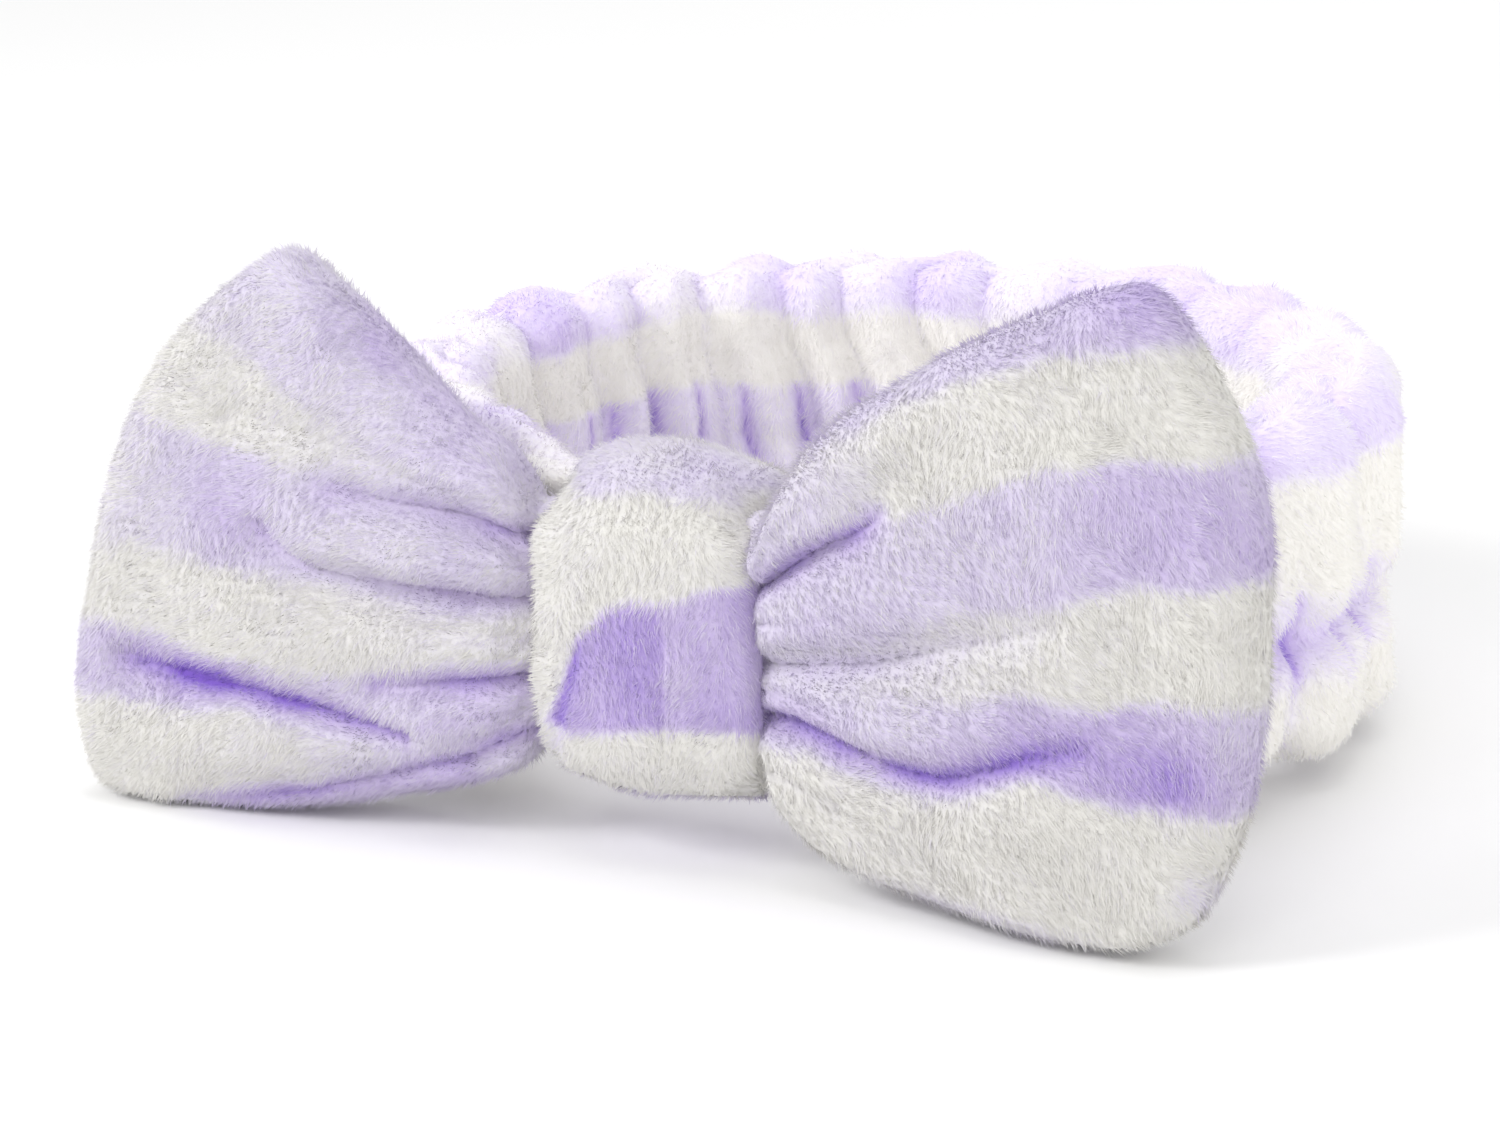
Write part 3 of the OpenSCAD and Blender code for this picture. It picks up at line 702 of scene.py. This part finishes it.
def wing_skin(cfg, side, ns, nt, inset=0.0, relief=True):
    """Both faces of one wing as one closed padded skin. side is +1 on the right and -1 on the left."""
    us = np.linspace(0, 1, ns)
    sv = np.where(us < 0.85, us / 0.85 * 0.9, 0.9 + 0.1 * np.sin((us - 0.85) / 0.15 * math.pi / 2))
    sv = -0.062 + 1.062 * sv if not inset else 0.05 + 0.93 * sv
    if not inset:
        sv[-1] = 1.0
    w = np.linspace(0, 1, nt)
    tv = lerp(w, 0.5 - 0.5 * np.cos(math.pi * w), 0.7)
    s, t = (a.ravel() for a in np.meshgrid(sv, tv, indexing="ij"))
    x, z = wing_outline(np.maximum(s, 0), t, cfg)
    x = x + np.minimum(s, 0) * 76.0 + 0.9 * noise(np.stack([t * 90, np.zeros_like(t), np.zeros_like(t)], 1), 13.0, 61 + (side > 0)) * smooth((s - 0.3) / 0.6)
    if inset:
        x, z = lerp(x, np.maximum(x, 22) * 0 + 58 + (x - 58) * 0.92, smooth((x - 30) / 20)), 36 + (z - 36) * 0.86 + 1.2
    wide = wing_outline(np.maximum(s, 0), np.ones_like(s), cfg)[1] - wing_outline(np.maximum(s, 0), np.zeros_like(s), cfg)[1]
    r = 6.5
    dt, ds = np.minimum(t, 1 - t) * wide, (1 - s) * 74.0
    rim = np.sqrt(np.clip(1 - (1 - np.clip(dt / r, 0, 1)) ** 2, 0, 1)) * np.sqrt(np.clip(1 - (1 - np.clip(ds / (r + 1.5), 0, 1)) ** 2, 0, 1))
    a = np.maximum(s, 0) * 74.0
    crown = (1 - 0.22 * (2 * t - 1) ** 2) * (1 - 0.30 * smooth((s - 0.55) / 0.45))
    out = smooth((s * 74.0 + 4.0) / cfg["swell"])      # swells from under the knot's edge
    hf = lerp(5.0, lerp(8.8, 10.2 * crown, smooth((a - 2) / 26)), out) * rim
    hb = lerp(4.6, 8.2 * crown, smooth((a - 8) / 30)) * rim
    if inset:
        hf, hb = np.maximum(hf - inset, 0.15) * (rim > 0), np.maximum(hb - inset, 0.15) * (rim > 0)
    mid = HINGE_Y - cfg["sweep"] * np.maximum(s, 0) + 0.10 * (z - 45) * np.maximum(s, 0)
    # the outer edge curls a little forwards
    mid = mid - 1.6 * smooth((s - 0.7) / 0.3) * np.sin(t * math.pi)
    xz = np.stack([x, z], 1)
    front = np.zeros(len(x))
    pinch = np.zeros(len(x))
    lift = np.zeros(len(x))
    painted_crease_shade = np.zeros(len(x))
    for c in cfg["creases"]:
        curve = catmull(c["p"], 60)
        d, l, sd = near(xz, curve)
        end = 1 - smooth((l - 0.88) / 0.12) * smooth(d / 4.0)
        depth = lerp(c["d"][0], c["d"][1], l ** 0.8) * smooth((1.02 - l) / 0.10)
        wide = c["w"] * (0.85 + 0.45 * l)
        u = np.clip(d / (1.75 * wide), 0, 1)
        prof = 0.6 * (1 - np.sqrt(1 - (1 - u) ** 2)) + 0.4 * np.exp(-(d / wide) ** 1.2)
        # the roll above the crease stands proud of the one below
        front += depth * 1.3 * prof * end
        pinch = np.maximum(pinch, np.clip(depth / 3.0, 0, 1) * np.exp(-(d / 2.2) ** 2) * end)
        lift += c["lip"] * smooth((1.0 - l) / 0.35) * np.exp(-((d - c["w"]) / (c["w"] * 1.1)) ** 2) * (sd > 0)
        # painted shade: each crease is coloured deeper purple along its line, fading out towards its end
        painted_crease_shade += 1.45 * c["tone"] * np.exp(-(d / (c["w"] * 0.44)) ** 1.6) * smooth((1.0 - l) / 0.12) * np.where(l <= 0, 0, 1)
    for (px, pz), (rx, rz), h, tilt in cfg["puffs"]:
        dx, dz = (x - px) / rx, (z - pz - tilt * (x - px)) / rz
        lift += h / 0.8 * np.exp(-(dx * dx + dz * dz) ** 1.3)
    # tight pleats where the cloth leaves the knot
    fan = np.exp(-a / 12.0)
    pleat = np.sin(t * 2 * math.pi * 9.3 + 0.7 * side + 3.0 * noise(np.stack([t * 30, s * 0, s * 0], 1), 5.0, 90)) * 0.45 * fan * (s > 0)
    wob = fbm(np.stack([x, t * 60, np.zeros_like(x)], 1), 21.0, 100 + (side > 0), 2)
    rad = noise(np.stack([t * 74, s * 12, np.zeros_like(x)], 1), 8.0, 140 + (side > 0)) * smooth(a / 12) * (1 - smooth((a - 40) / 40))
    if relief:
        f_rel = front - lift * 0.8 - wob * 1.4 - pleat - rad * 0.9
        b_rel = (2.4 * np.abs(noise(np.stack([t * 60, s * 14, np.ones_like(x) * 7], 1), 11.0, 170 + (side > 0))) ** 0.8 * (1 - smooth((a - 45) / 30))
                 + 0.8 * pleat + wob * 0.8)
    else:
        f_rel, b_rel = front, 0.0
    soft = rim ** 0.7
    start = smooth((s * 74.0 + 4.0) / 3.5)
    yf = mid - np.maximum(hf - f_rel * soft * start, 1.1 * (rim > 0) * soft)
    yb = mid + np.maximum(hb - b_rel * soft * start, 1.1 * (rim > 0) * soft)
    # printed stripes, drawn together at the knot
    P = np.stack([x, z, np.zeros_like(x)], 1)
    zw = z + 0.9 * noise(P, 12.0, 201 + (side > 0)) + 0.6 * noise(P, 4.5, 203)
    tone_f = printed(x, zw, cfg, 3.4) * (1.0 + 0.22 * fbm(P, 15.0, 211, 3))
    for (px, pz), (rx, rz), v in cfg["patches"]:
        dx, dz = (x - px) / rx, (z - pz) / rz
        tone_f = tone_f + v * np.exp(-(dx * dx + dz * dz) ** 1.2) * (0.85 + 0.3 * noise(P, 7.0, 217))
    # the print, with the creases' painted shade added on top
    tone_f = np.clip(tone_f, 0, 1) + painted_crease_shade * (0.8 + 0.4 * noise(P, 6.0, 221))
    tone_b = printed(x, 88 - zw * 0.95, cfg, 3.4) * (0.95 + 0.4 * fbm(P, 15.0, 231, 3))
    n = len(x)
    idx = np.arange(n).reshape(ns, nt)
    back = idx + n
    # the rim and the outer edge are shared by both faces; the root is closed inside the knot
    share = back.copy()
    share[:, 0], share[:, -1], share[-1, :] = idx[:, 0], idx[:, -1], idx[-1, :]
    F = np.stack([idx[:-1, :-1], idx[1:, :-1], idx[1:, 1:], idx[:-1, 1:]], -1).reshape(-1, 4)
    B = np.stack([share[:-1, :-1], share[:-1, 1:], share[1:, 1:], share[1:, :-1]], -1).reshape(-1, 4)
    R = np.stack([idx[0, :-1], idx[0, 1:], share[0, 1:], share[0, :-1]], -1)
    edge_y = mid
    yf = np.where(rim > 0, yf, edge_y)
    yb = np.where(rim > 0, yb, edge_y)
    v = np.concatenate([np.stack([x, yf, z], 1), np.stack([x, yb, z], 1)])
    tone = np.concatenate([tone_f, lerp(tone_f, tone_b, smooth(np.minimum(dt, ds) / 4.0))])
    nap = np.concatenate([1 - 0.6 * pinch, np.ones(len(x))])
    f = np.concatenate([F, B, R])
    keep = (f[:, 0] != f[:, 1]) & (f[:, 1] != f[:, 2]) & (f[:, 2] != f[:, 3]) & (f[:, 3] != f[:, 0])
    f = f[keep]
    used = np.zeros(len(v), bool)
    used[f.ravel()] = True
    remap = np.cumsum(used) - 1
    v, tone, nap, f = v[used], tone[used], nap[used], remap[f]
    v[:, 2] = np.maximum(v[:, 2], 0.35)
    hairy = smooth((v[:, 0] - 15.0) / 1.0)
    if side < 0:
        v = v * np.array([-1, 1, 1])
        f = f[:, ::-1]
    return Skin(v, f, tone, hairy, nap)


# ------------------------------------------------------------------ knot
def knot_skin(n_loop, n_sec):
    """The knot's strip: a flat roll of cloth, 36 wide and about 4 thick, bent round the bow and the band."""
    th = 3.9
    y0, y1, z0, z1 = KNOT_Y0, KNOT_Y1, KNOT_Z0, KNOT_Z1
    cy, cz = (y0 + y1) / 2, (z0 + z1) / 2
    # middle line of the strip in the YZ plane, from the bottom round the front: low corners tight, the top one dome
    r_low, r_top = 10.5 - th / 2, 13.6 - th / 2
    ya, yb, za, zb = y0 + th / 2, y1 - th / 2, z0 + th / 2, z1 - th / 2
    pts = []

    def arc(oy, oz, r, a0, a1):
        for k in range(24):
            ang = math.radians(a0 + (a1 - a0) * k / 23)
            pts.append((oy + r * math.cos(ang), oz + r * math.sin(ang)))

    arc(ya + r_low, za + r_low, r_low, 270, 180)
    arc(ya + r_top, zb - r_top, r_top, 180, 90)
    arc(yb - r_top, zb - r_top, r_top, 90, 0)
    arc(yb - r_low, za + r_low, r_low, 0, -90)
    pts.append(pts[0])
    pts = np.array(pts)
    seg = np.concatenate([[0], np.cumsum(np.linalg.norm(np.diff(pts, axis=0), axis=1))])
    q = np.arange(n_loop) / n_loop * seg[-1]
    py, pz = np.interp(q, seg, pts[:, 0]), np.interp(q, seg, pts[:, 1])
    e = 1.2
    dy = np.interp((q + e) % seg[-1], seg, pts[:, 0]) - np.interp((q - e) % seg[-1], seg, pts[:, 0])
    dz = np.interp((q + e) % seg[-1], seg, pts[:, 1]) - np.interp((q - e) % seg[-1], seg, pts[:, 1])
    ln = np.hypot(dy, dz)
    ny, nz = -dz / ln, dy / ln
    psi = np.arange(n_sec) / n_sec
    # flat stadium section: outer face, edge, inner face, edge
    hw, ht = KNOT_X - th / 2, th / 2
    per = 4 * hw + 2 * math.pi * ht
    e = psi * per
    sx, sn = np.zeros(n_sec), np.zeros(n_sec)
    m = e < 2 * hw
    sx[m], sn[m] = -hw + e[m], ht
    m = (e >= 2 * hw) & (e < 2 * hw + math.pi * ht)
    g = (e[m] - 2 * hw) / ht
    sx[m], sn[m] = hw + ht * np.sin(g), ht * np.cos(g)
    m = (e >= 2 * hw + math.pi * ht) & (e < 4 * hw + math.pi * ht)
    sx[m], sn[m] = hw - (e[m] - 2 * hw - math.pi * ht), -ht
    m = e >= 4 * hw + math.pi * ht
    g = (e[m] - 4 * hw - math.pi * ht) / ht
    sx[m], sn[m] = -hw - ht * np.sin(g), -ht * np.cos(g)
    X, SN = np.tile(sx, n_loop), np.tile(sn, n_loop)
    PY, PZ, NY, NZ = (np.repeat(k, n_sec) for k in (py, pz, ny, nz))
    Y, Z = PY + NY * SN, PZ + NZ * SN
    outer = smooth((SN + 0.5) / 1.5)
    front = smooth(-NY * 1.3)
    crown = smooth((Z - (z1 - 13)) / 12)
    # drawn in a little at the foot and over the top, full in the middle, edges wavy
    height = np.clip((Z - z0) / (z1 - z0), 0, 1)
    wide = 1.0 - 0.12 * crown - 0.06 * smooth((0.30 - height) / 0.30) * smooth(-X / 4.0) - 0.02 * smooth((0.3 - height) / 0.3)
    wide = lerp(0.90, wide, smooth(0.3 + front * 0.7))
    Xn = X * wide + 0.5 * noise(np.stack([np.sign(X) * 40, Y, Z], 1), 9.0, 300) * np.abs(X) / hw
    r = np.abs(X) / hw
    rel = 0.9 * (1 - r ** 2) * front + 0.9 * noise(np.stack([Xn * 0.8, Y, Z * 0.9], 1), 10.0, 301) + 0.4 * noise(np.stack([Xn, Y, Z], 1), 4.5, 302)
    # soft crosswise wrinkles near the top, and a vertical dent right of the middle lower down
    rel -= 0.9 * np.exp(-((Z - 53.5 - 0.08 * Xn) / 1.8) ** 2) * front
    rel -= 0.8 * np.exp(-((Xn - 4.5 + 0.12 * (Z - 28)) / 1.8) ** 2) * smooth((40 - Z) / 8) * smooth((Z - 17) / 6) * front
    rel -= 0.9 * np.exp(-((Xn + 12.5 - 0.25 * (Z - 20)) / 1.5) ** 2) * smooth((36 - Z) / 6) * front
    sink = 1.3 * r ** 5 * front + 3.2 * r ** 2.6 * crown
    Y, Z = Y + NY * (rel * outer - sink), Z + NZ * (rel * outer - sink)
    pos3 = np.stack([Xn, Y, Z], 1)
    # print: lavender over the top, white, a purple patch with a slanting upper edge, white foot
    wv = 1.3 * noise(pos3, 7.0, 311) + 0.7 * noise(pos3, 3.0, 312)
    top = smooth((Z + wv - 53.6) / 2.5)
    slope = np.interp(Xn, [-18, -13, -9, -4, 4, 12, 18], [17, 25, 36, 41, 42.5, 45.5, 46.5])
    patch = smooth((slope - (Z + wv)) / 3.0) * smooth((Z + wv - lerp(19.0, 21.5, smooth((Xn + 4) / 12))) / 2.5)
    dark = 0.63 + 0.08 * noise(pos3, 6.0, 313) - 0.14 * smooth((Xn - 4.0) / 1.6) + 0.04 * smooth((Xn - 12) / 3)
    # painted shade: a darker line along the slanting dent left of the middle
    line = 0.22 * np.exp(-((Xn + 12.5 - 0.25 * (Z - 20)) / 1.3) ** 2) * smooth((36 - Z) / 6) * smooth((Z - 14) / 4)
    low = smooth((12.2 - Z) / 2.0)
    wash = 0.5 + 0.5 * noise(pos3, 9.0, 314)
    tone = top * (0.21 + 0.06 * wash) + patch * dark + line * front + low * 0.36 + 0.04 * wash
    behind = smooth(NY)
    tone = lerp(tone, (0.28 + 0.15 * wash) * smooth(np.sin(Z / 9.5) * 1.4 + 0.2), behind)
    return Skin(pos3, torus_faces(n_loop, n_sec), tone, np.maximum(smooth((SN + 1.6) / 0.8), smooth((np.abs(X) - hw) / 0.4)))


# ------------------------------------------------------------------ build the skins
def outward(sk, centre_line=None):
    """Turns a closed skin's faces to the outside, by its signed volume."""
    v, f = sk.v, sk.f
    a, b, c, d = (v[f[:, k]] for k in range(4))
    vol = (np.einsum("ij,ij->i", a, np.cross(b, c)) + np.einsum("ij,ij->i", a, np.cross(c, d))).sum()
    if vol < 0:
        sk.f = f[:, ::-1]
        sk.n = vertex_normals(sk.v, sk.f)
    return sk


SCALE = 1.0
sec = section_loop(int(56 * SCALE), 12, 3)
band = outward(band_skin(int(520 * SCALE), sec))
left_wing = outward(wing_skin(LEFT, -1, int(120 * SCALE), int(150 * SCALE)))
right_wing = outward(wing_skin(RIGHT, 1, int(120 * SCALE), int(150 * SCALE)))
knot = outward(knot_skin(int(230 * SCALE), int(110 * SCALE)))
for sk, amount, seed in ((band, 0.22, 11), (left_wing, 0.26, 12), (right_wing, 0.26, 13), (knot, 0.20, 14)):
    tuft_relief(sk, amount, seed)
    sk.v[:, 2] = np.maximum(sk.v[:, 2], 0.35)

band_o = make_mesh("band_sleeve", band.v, band.f, MAT_BAND, band.tone)
left_o = make_mesh("left_wing_cover", left_wing.v, left_wing.f, MAT_BOW, left_wing.tone)
right_o = make_mesh("right_wing_cover", right_wing.v, right_wing.f, MAT_BOW, right_wing.tone)
knot_o = make_mesh("knot_strip", knot.v, knot.f, MAT_KNOT, knot.tone)

BAND_BLEND = ("front", "back", (0, (RY - 42) * MM, 0), (0, (RY + 42) * MM, 0))
LEFT_BLEND = ("front", "left_wing", (-0.0165, 0, 0), (-0.034, 0, 0))
RIGHT_BLEND = ("front", "right_wing", (0.0165, 0, 0), (0.034, 0, 0))
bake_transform(band_o)
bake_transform(left_o)
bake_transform(right_o)
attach(knot_o, "front")
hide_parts("sleeve_front", "sleeve_left", "sleeve_right", "sleeve_back")
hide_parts("left_wing_front_panel", "left_wing_back_panel")
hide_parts("right_wing_front_panel", "right_wing_back_panel")
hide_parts("knot_loop")

# wadding that follows each wing's folds, three millimetres inside its cover
for name, cfg, side, bl, nodes in (("left_wing_filling", LEFT, -1, LEFT_BLEND, "left_wing_wadding"),
                                   ("right_wing_filling", RIGHT, 1, RIGHT_BLEND, "right_wing_wadding")):
    sk = outward(wing_skin(cfg, side, 40, 40, inset=3.4, relief=False))
    o = make_mesh(name, sk.v, sk.f, MAT_WAD)
    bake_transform(o)
    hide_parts(nodes)


# ------------------------------------------------------------------ the seam round each wing, just inside its cover
def seam_stitches(cfg, side, count=36, long=3.0, r=0.35):
    q = np.linspace(0, 1, 160)
    s = np.concatenate([lerp(0.10, 0.985, q), np.full(160, 0.985), lerp(0.985, 0.10, q)])
    t = np.concatenate([np.full(160, 0.004), lerp(0.004, 0.996, q), np.full(160, 0.996)])
    x, z = wing_outline(s, t, cfg)
    # two millimetres in from the edge, towards the middle of the wing
    tx, tz = np.gradient(x), np.gradient(z)
    ln = np.maximum(np.hypot(tx, tz), 1e-6)
    x, z = x - 2.0 * tz / ln, z + 2.0 * tx / ln
    y = HINGE_Y - cfg["sweep"] * s + 0.10 * (z - 45) * s - 1.6 * smooth((s - 0.7) / 0.3) * np.sin(t * math.pi)
    path = np.stack([x, y, z], 1)
    arc = np.concatenate([[0], np.cumsum(np.linalg.norm(np.diff(path, axis=0), axis=1))])
    verts, faces = [], []
    for k in range(count):
        mid = arc[-1] * (k + 0.5) / count
        a, b = (np.array([np.interp(mid + h, arc, path[:, j]) for j in range(3)]) for h in (-long / 2, long / 2))
        d = (b - a) / np.linalg.norm(b - a)
        e = np.cross(d, [0, 1, 0])
        e /= np.linalg.norm(e)
        g = np.cross(d, e)
        base = len(verts)
        for c in (a, b):
            for h in range(6):
                ang = math.pi * h / 3
                verts.append(c + r * (math.cos(ang) * e + math.sin(ang) * g))
        verts += [a - d * r * 0.6, b + d * r * 0.6]
        for h in range(6):
            n = (h + 1) % 6
            faces += [[base + h, base + n, base + 6 + n], [base + h, base + 6 + n, base + 6 + h],
                      [base + 12, base + n, base + h], [base + 13, base + 6 + h, base + 6 + n]]
    v, f = np.array(verts), np.array(faces)
    if side < 0:
        v = v * np.array([-1, 1, 1])
        f = f[:, ::-1]
    # outside out
    p0, p1, p2 = (v[f[:, k]] for k in range(3))
    if np.einsum("ij,ij->i", p0, np.cross(p1, p2)).sum() < 0:
        f = f[:, ::-1]
    return v, f


for name, cfg, side, bl in (("left_wing_seam_thread", LEFT, -1, LEFT_BLEND), ("right_wing_seam_thread", RIGHT, 1, RIGHT_BLEND)):
    v, f = seam_stitches(cfg, side)
    o = make_mesh(name, v, f, MAT_THREAD)
    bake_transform(o)
    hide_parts(name.replace("seam_thread", "seam_stitches"))


# ------------------------------------------------------------------ the elastic loop inside the tube
def elastic_loop():
    n = 240
    u = np.arange(n) / n * PATH_L
    c, nn, s = path_at(u)
    lo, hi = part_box("elastic_back")
    z0, z1 = lo.z / MM, hi.z / MM
    rows = []
    for off, z in ((-0.5, z0), (0.5, z0), (0.5, z1), (-0.5, z1)):
        rows.append(np.stack([c[:, 0] + nn[:, 0] * off, c[:, 1] + nn[:, 1] * off, np.full(n, z)], 1))
    v = np.stack(rows, 1)
    # rows across the height, so that the rib shows
    m = 24
    ring = []
    for k in range(m):
        q = k / m * 4
        a, b = int(q) % 4, (int(q) + 1) % 4
        ring.append(lerp(v[:, a], v[:, b], q - int(q)))
    v = np.stack(ring, 1).reshape(-1, 3)
    f = torus_faces(n, m)
    return outward(Skin(v, f, np.zeros(len(v))))


el = elastic_loop()
el_o = make_mesh("elastic_loop", el.v, el.f, MAT_ELASTIC)
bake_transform(el_o)
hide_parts("elastic_tail_left", "elastic_tail_right", "elastic_left", "elastic_right", "elastic_back")


# ------------------------------------------------------------------ pile on every outer face
def comb_wing(side, seed):
    def comb(p, n):
        # brushed away from the knot and down, turning gently over the face
        ang = 0.9 * noise(p, 26.0, seed) + 0.5 * noise(p, 9.0, seed + 1)
        base = np.stack([side * (0.55 + 0.35 * np.cos(ang)), np.full(len(p), -0.28), -0.75 + 0.65 * np.sin(ang)], 1)
        return base
    return comb


def comb_band(p, n):
    r = np.hypot(p[:, 0], p[:, 1]) + 1e-6
    tan = np.stack([-p[:, 1] / r, p[:, 0] / r, np.zeros(len(p))], 1)
    ang = 1.1 * noise(p, 22.0, 401)
    return tan * (0.50 + 0.42 * np.sin(ang))[:, None] + np.array([0, 0, -1.0]) * (0.6 + 0.4 * np.cos(ang))[:, None]


def comb_knot(p, n):
    ang = 0.8 * noise(p, 12.0, 411)
    out = np.sign(p[:, 0]) * smooth((np.abs(p[:, 0]) - 10) / 6) * 1.3
    return np.stack([0.9 * np.sin(ang) - 0.25 + out, np.full(len(p), -0.55), -0.6 - 0.3 * np.cos(ang)], 1)


K = 1.0
fronts = lambda p: (p[:, 1] < HINGE_Y - 4.6 * np.clip((np.abs(p[:, 0]) - 19) / 75, 0, 1) - 0.5).astype(float)
backs = lambda p: 1 - fronts(p)
grow_pile("left_wing_front_pile", left_wing, int(49500 * K), 501, 1.8, comb_wing(-1, 511), blend=LEFT_BLEND, part=fronts, width=0.10, clump=1.7)
grow_pile("left_wing_back_pile", left_wing, int(32000 * K), 504, 1.8, comb_wing(-1, 511), blend=LEFT_BLEND, part=backs)
grow_pile("right_wing_front_pile", right_wing, int(49500 * K), 502, 1.8, comb_wing(1, 521), blend=RIGHT_BLEND, part=fronts, width=0.10, clump=1.7)
grow_pile("right_wing_back_pile", right_wing, int(32000 * K), 505, 1.8, comb_wing(1, 521), blend=RIGHT_BLEND, part=backs)
grow_pile("knot_pile", knot, int(32000 * K), 503, 1.6, comb_knot, body="front", width=0.10, clump=1.6)
quarters = [("band_pile_front_right", lambda p: (p[:, 0] >= 0) & (p[:, 1] < 0)), ("band_pile_back_right", lambda p: (p[:, 0] >= 0) & (p[:, 1] >= 0)),
            ("band_pile_back_left", lambda p: (p[:, 0] < 0) & (p[:, 1] >= 0)), ("band_pile_front_left", lambda p: (p[:, 0] < 0) & (p[:, 1] < 0))]
for k, (name, pick) in enumerate(quarters):
    grow_pile(name, band, int(46000 * K), 510 + k, 1.7, comb_band, "band", blend=BAND_BLEND, part=lambda p, q=pick: q(p).astype(float))


# ------------------------------------------------------------------ CAD nodes that stay
def dress(node, material):
    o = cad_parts[node]
    me = o.data
    if len(o.material_slots) == 0:
        me.materials.append(material)
    for sl in o.material_slots:
        sl.link = "OBJECT"
        sl.material = material


for node in ("elastic_join_stitches", "sleeve_join_stitches", "sleeve_seam_stitches", "cinch_thread", "knot_closing_stitches"):
    dress(node, MAT_THREAD)
gather_mat, gnt, gp = new_material("gathered_fleece")
gn = gnt.nodes.new("ShaderNodeTexNoise")
gn.inputs["Scale"].default_value = 500.0
gr = gnt.nodes.new("ShaderNodeValToRGB")
gr.color_ramp.elements[0].color = srgb(196, 176, 234)
gr.color_ramp.elements[1].color = srgb(240, 236, 246)
gnt.links.new(gn.outputs["Fac"], gr.inputs[0])
gnt.links.new(gr.outputs[0], gp.inputs["Base Color"])
gp.inputs["Roughness"].default_value = 0.95


def gathered_core():
    """The pinched middle of the bow, pleated lengthways, inside the knot."""
    g0, g1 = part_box("bow_centre_gather")
    n, m = 40, 160
    X, A = (k.ravel() for k in np.meshgrid(np.linspace(g0.x / MM, g1.x / MM, n), np.linspace(0, 2 * math.pi, m, endpoint=False), indexing="ij"))
    cy, cz = (g0.y + g1.y) / 2 / MM - RY, (g0.z + g1.z) / 2 / MM - 1.0
    hy, hz = (g1.y - g0.y) / 2 / MM - 0.4, (g1.z - g0.z) / 2 / MM - 3.0
    ca, sa = np.cos(A), np.sin(A)
    k = (np.abs(ca) ** 5 + np.abs(sa) ** 5) ** (-1 / 5)
    k = k * (1 - 0.035 * (1 + np.sin(A * 22 + 0.7 * np.sin(X / 4))) * 0.5)
    v = np.stack([X, cy + hy * ca * k, cz + hz * sa * k], 1)
    f = torus_faces(n, m, False)
    c0, c1 = len(v), len(v) + 1
    v = np.concatenate([v, [[X.min(), cy, cz], [X.max(), cy, cz]]])
    j = np.arange(m)
    tri = np.concatenate([np.stack([np.full(m, c0), (j + 1) % m, j], 1), np.stack([np.full(m, c1), (n - 1) * m + j, (n - 1) * m + (j + 1) % m], 1)])
    tri = np.concatenate([tri, f[:, [0, 1, 2]], f[:, [0, 2, 3]]])
    return v, tri


gv, gf = gathered_core()
core = make_mesh("gathered_core", gv, gf, gather_mat)
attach(core, "front")
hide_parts("bow_centre_gather")


# ------------------------------------------------------------------ floor, world and light
def plane(name, size, z):
    me = bpy.data.meshes.new(name)
    h = size / 2
    me.from_pydata([(-h, -h, z), (h, -h, z), (h, h, z), (-h, h, z)], [], [(0, 1, 2, 3)])
    o = bpy.data.objects.new(name, me)
    bpy.context.scene.collection.objects.link(o)
    return o


floor = plane("floor", 12.0, 0.0)
fm, fnt, fp = new_material("floor_white")
fp.inputs["Base Color"].default_value = (0.97, 0.97, 0.97, 1)
fp.inputs["Roughness"].default_value = 0.9
fp.inputs["Specular IOR Level"].default_value = 0.1
floor.data.materials.append(fm)

world = bpy.data.worlds.new("studio")
bpy.context.scene.world = world
world.use_nodes = True
bg = world.node_tree.nodes["Background"]
bg.inputs[0].default_value = (1.0, 1.0, 1.0, 1)
bg.inputs[1].default_value = 0.63


def area_light(name, loc, aim, size, watts, colour=(1, 1, 1)):
    d = bpy.data.lights.new(name, "AREA")
    d.shape = "SQUARE"
    d.size = size
    d.energy = watts
    d.color = colour
    o = bpy.data.objects.new(name, d)
    bpy.context.scene.collection.objects.link(o)
    o.location = loc
    o.rotation_euler = (Vector(aim) - Vector(loc)).to_track_quat("-Z", "Y").to_euler()
    return o


area_light("key", (-0.72, -0.85, 0.78), (0, -0.03, 0.04), 0.5, 7.9)
area_light("fill", (0.22, -1.05, 0.68), (0, 0.06, 0.04), 0.5, 2.3)
area_light("top", (0.05, 0.0, 1.1), (0, 0.02, 0.03), 0.7, 2.3)
area_light("right", (0.90, -0.10, 0.20), (0, 0.02, 0.03), 0.4, 1.4)
area_light("back", (0.0, 1.40, 0.90), (0, 0.80, 0.0), 0.8, 3.7)

bpy.context.scene.view_settings.view_transform = "Standard"
bpy.context.scene.view_settings.look = "None"
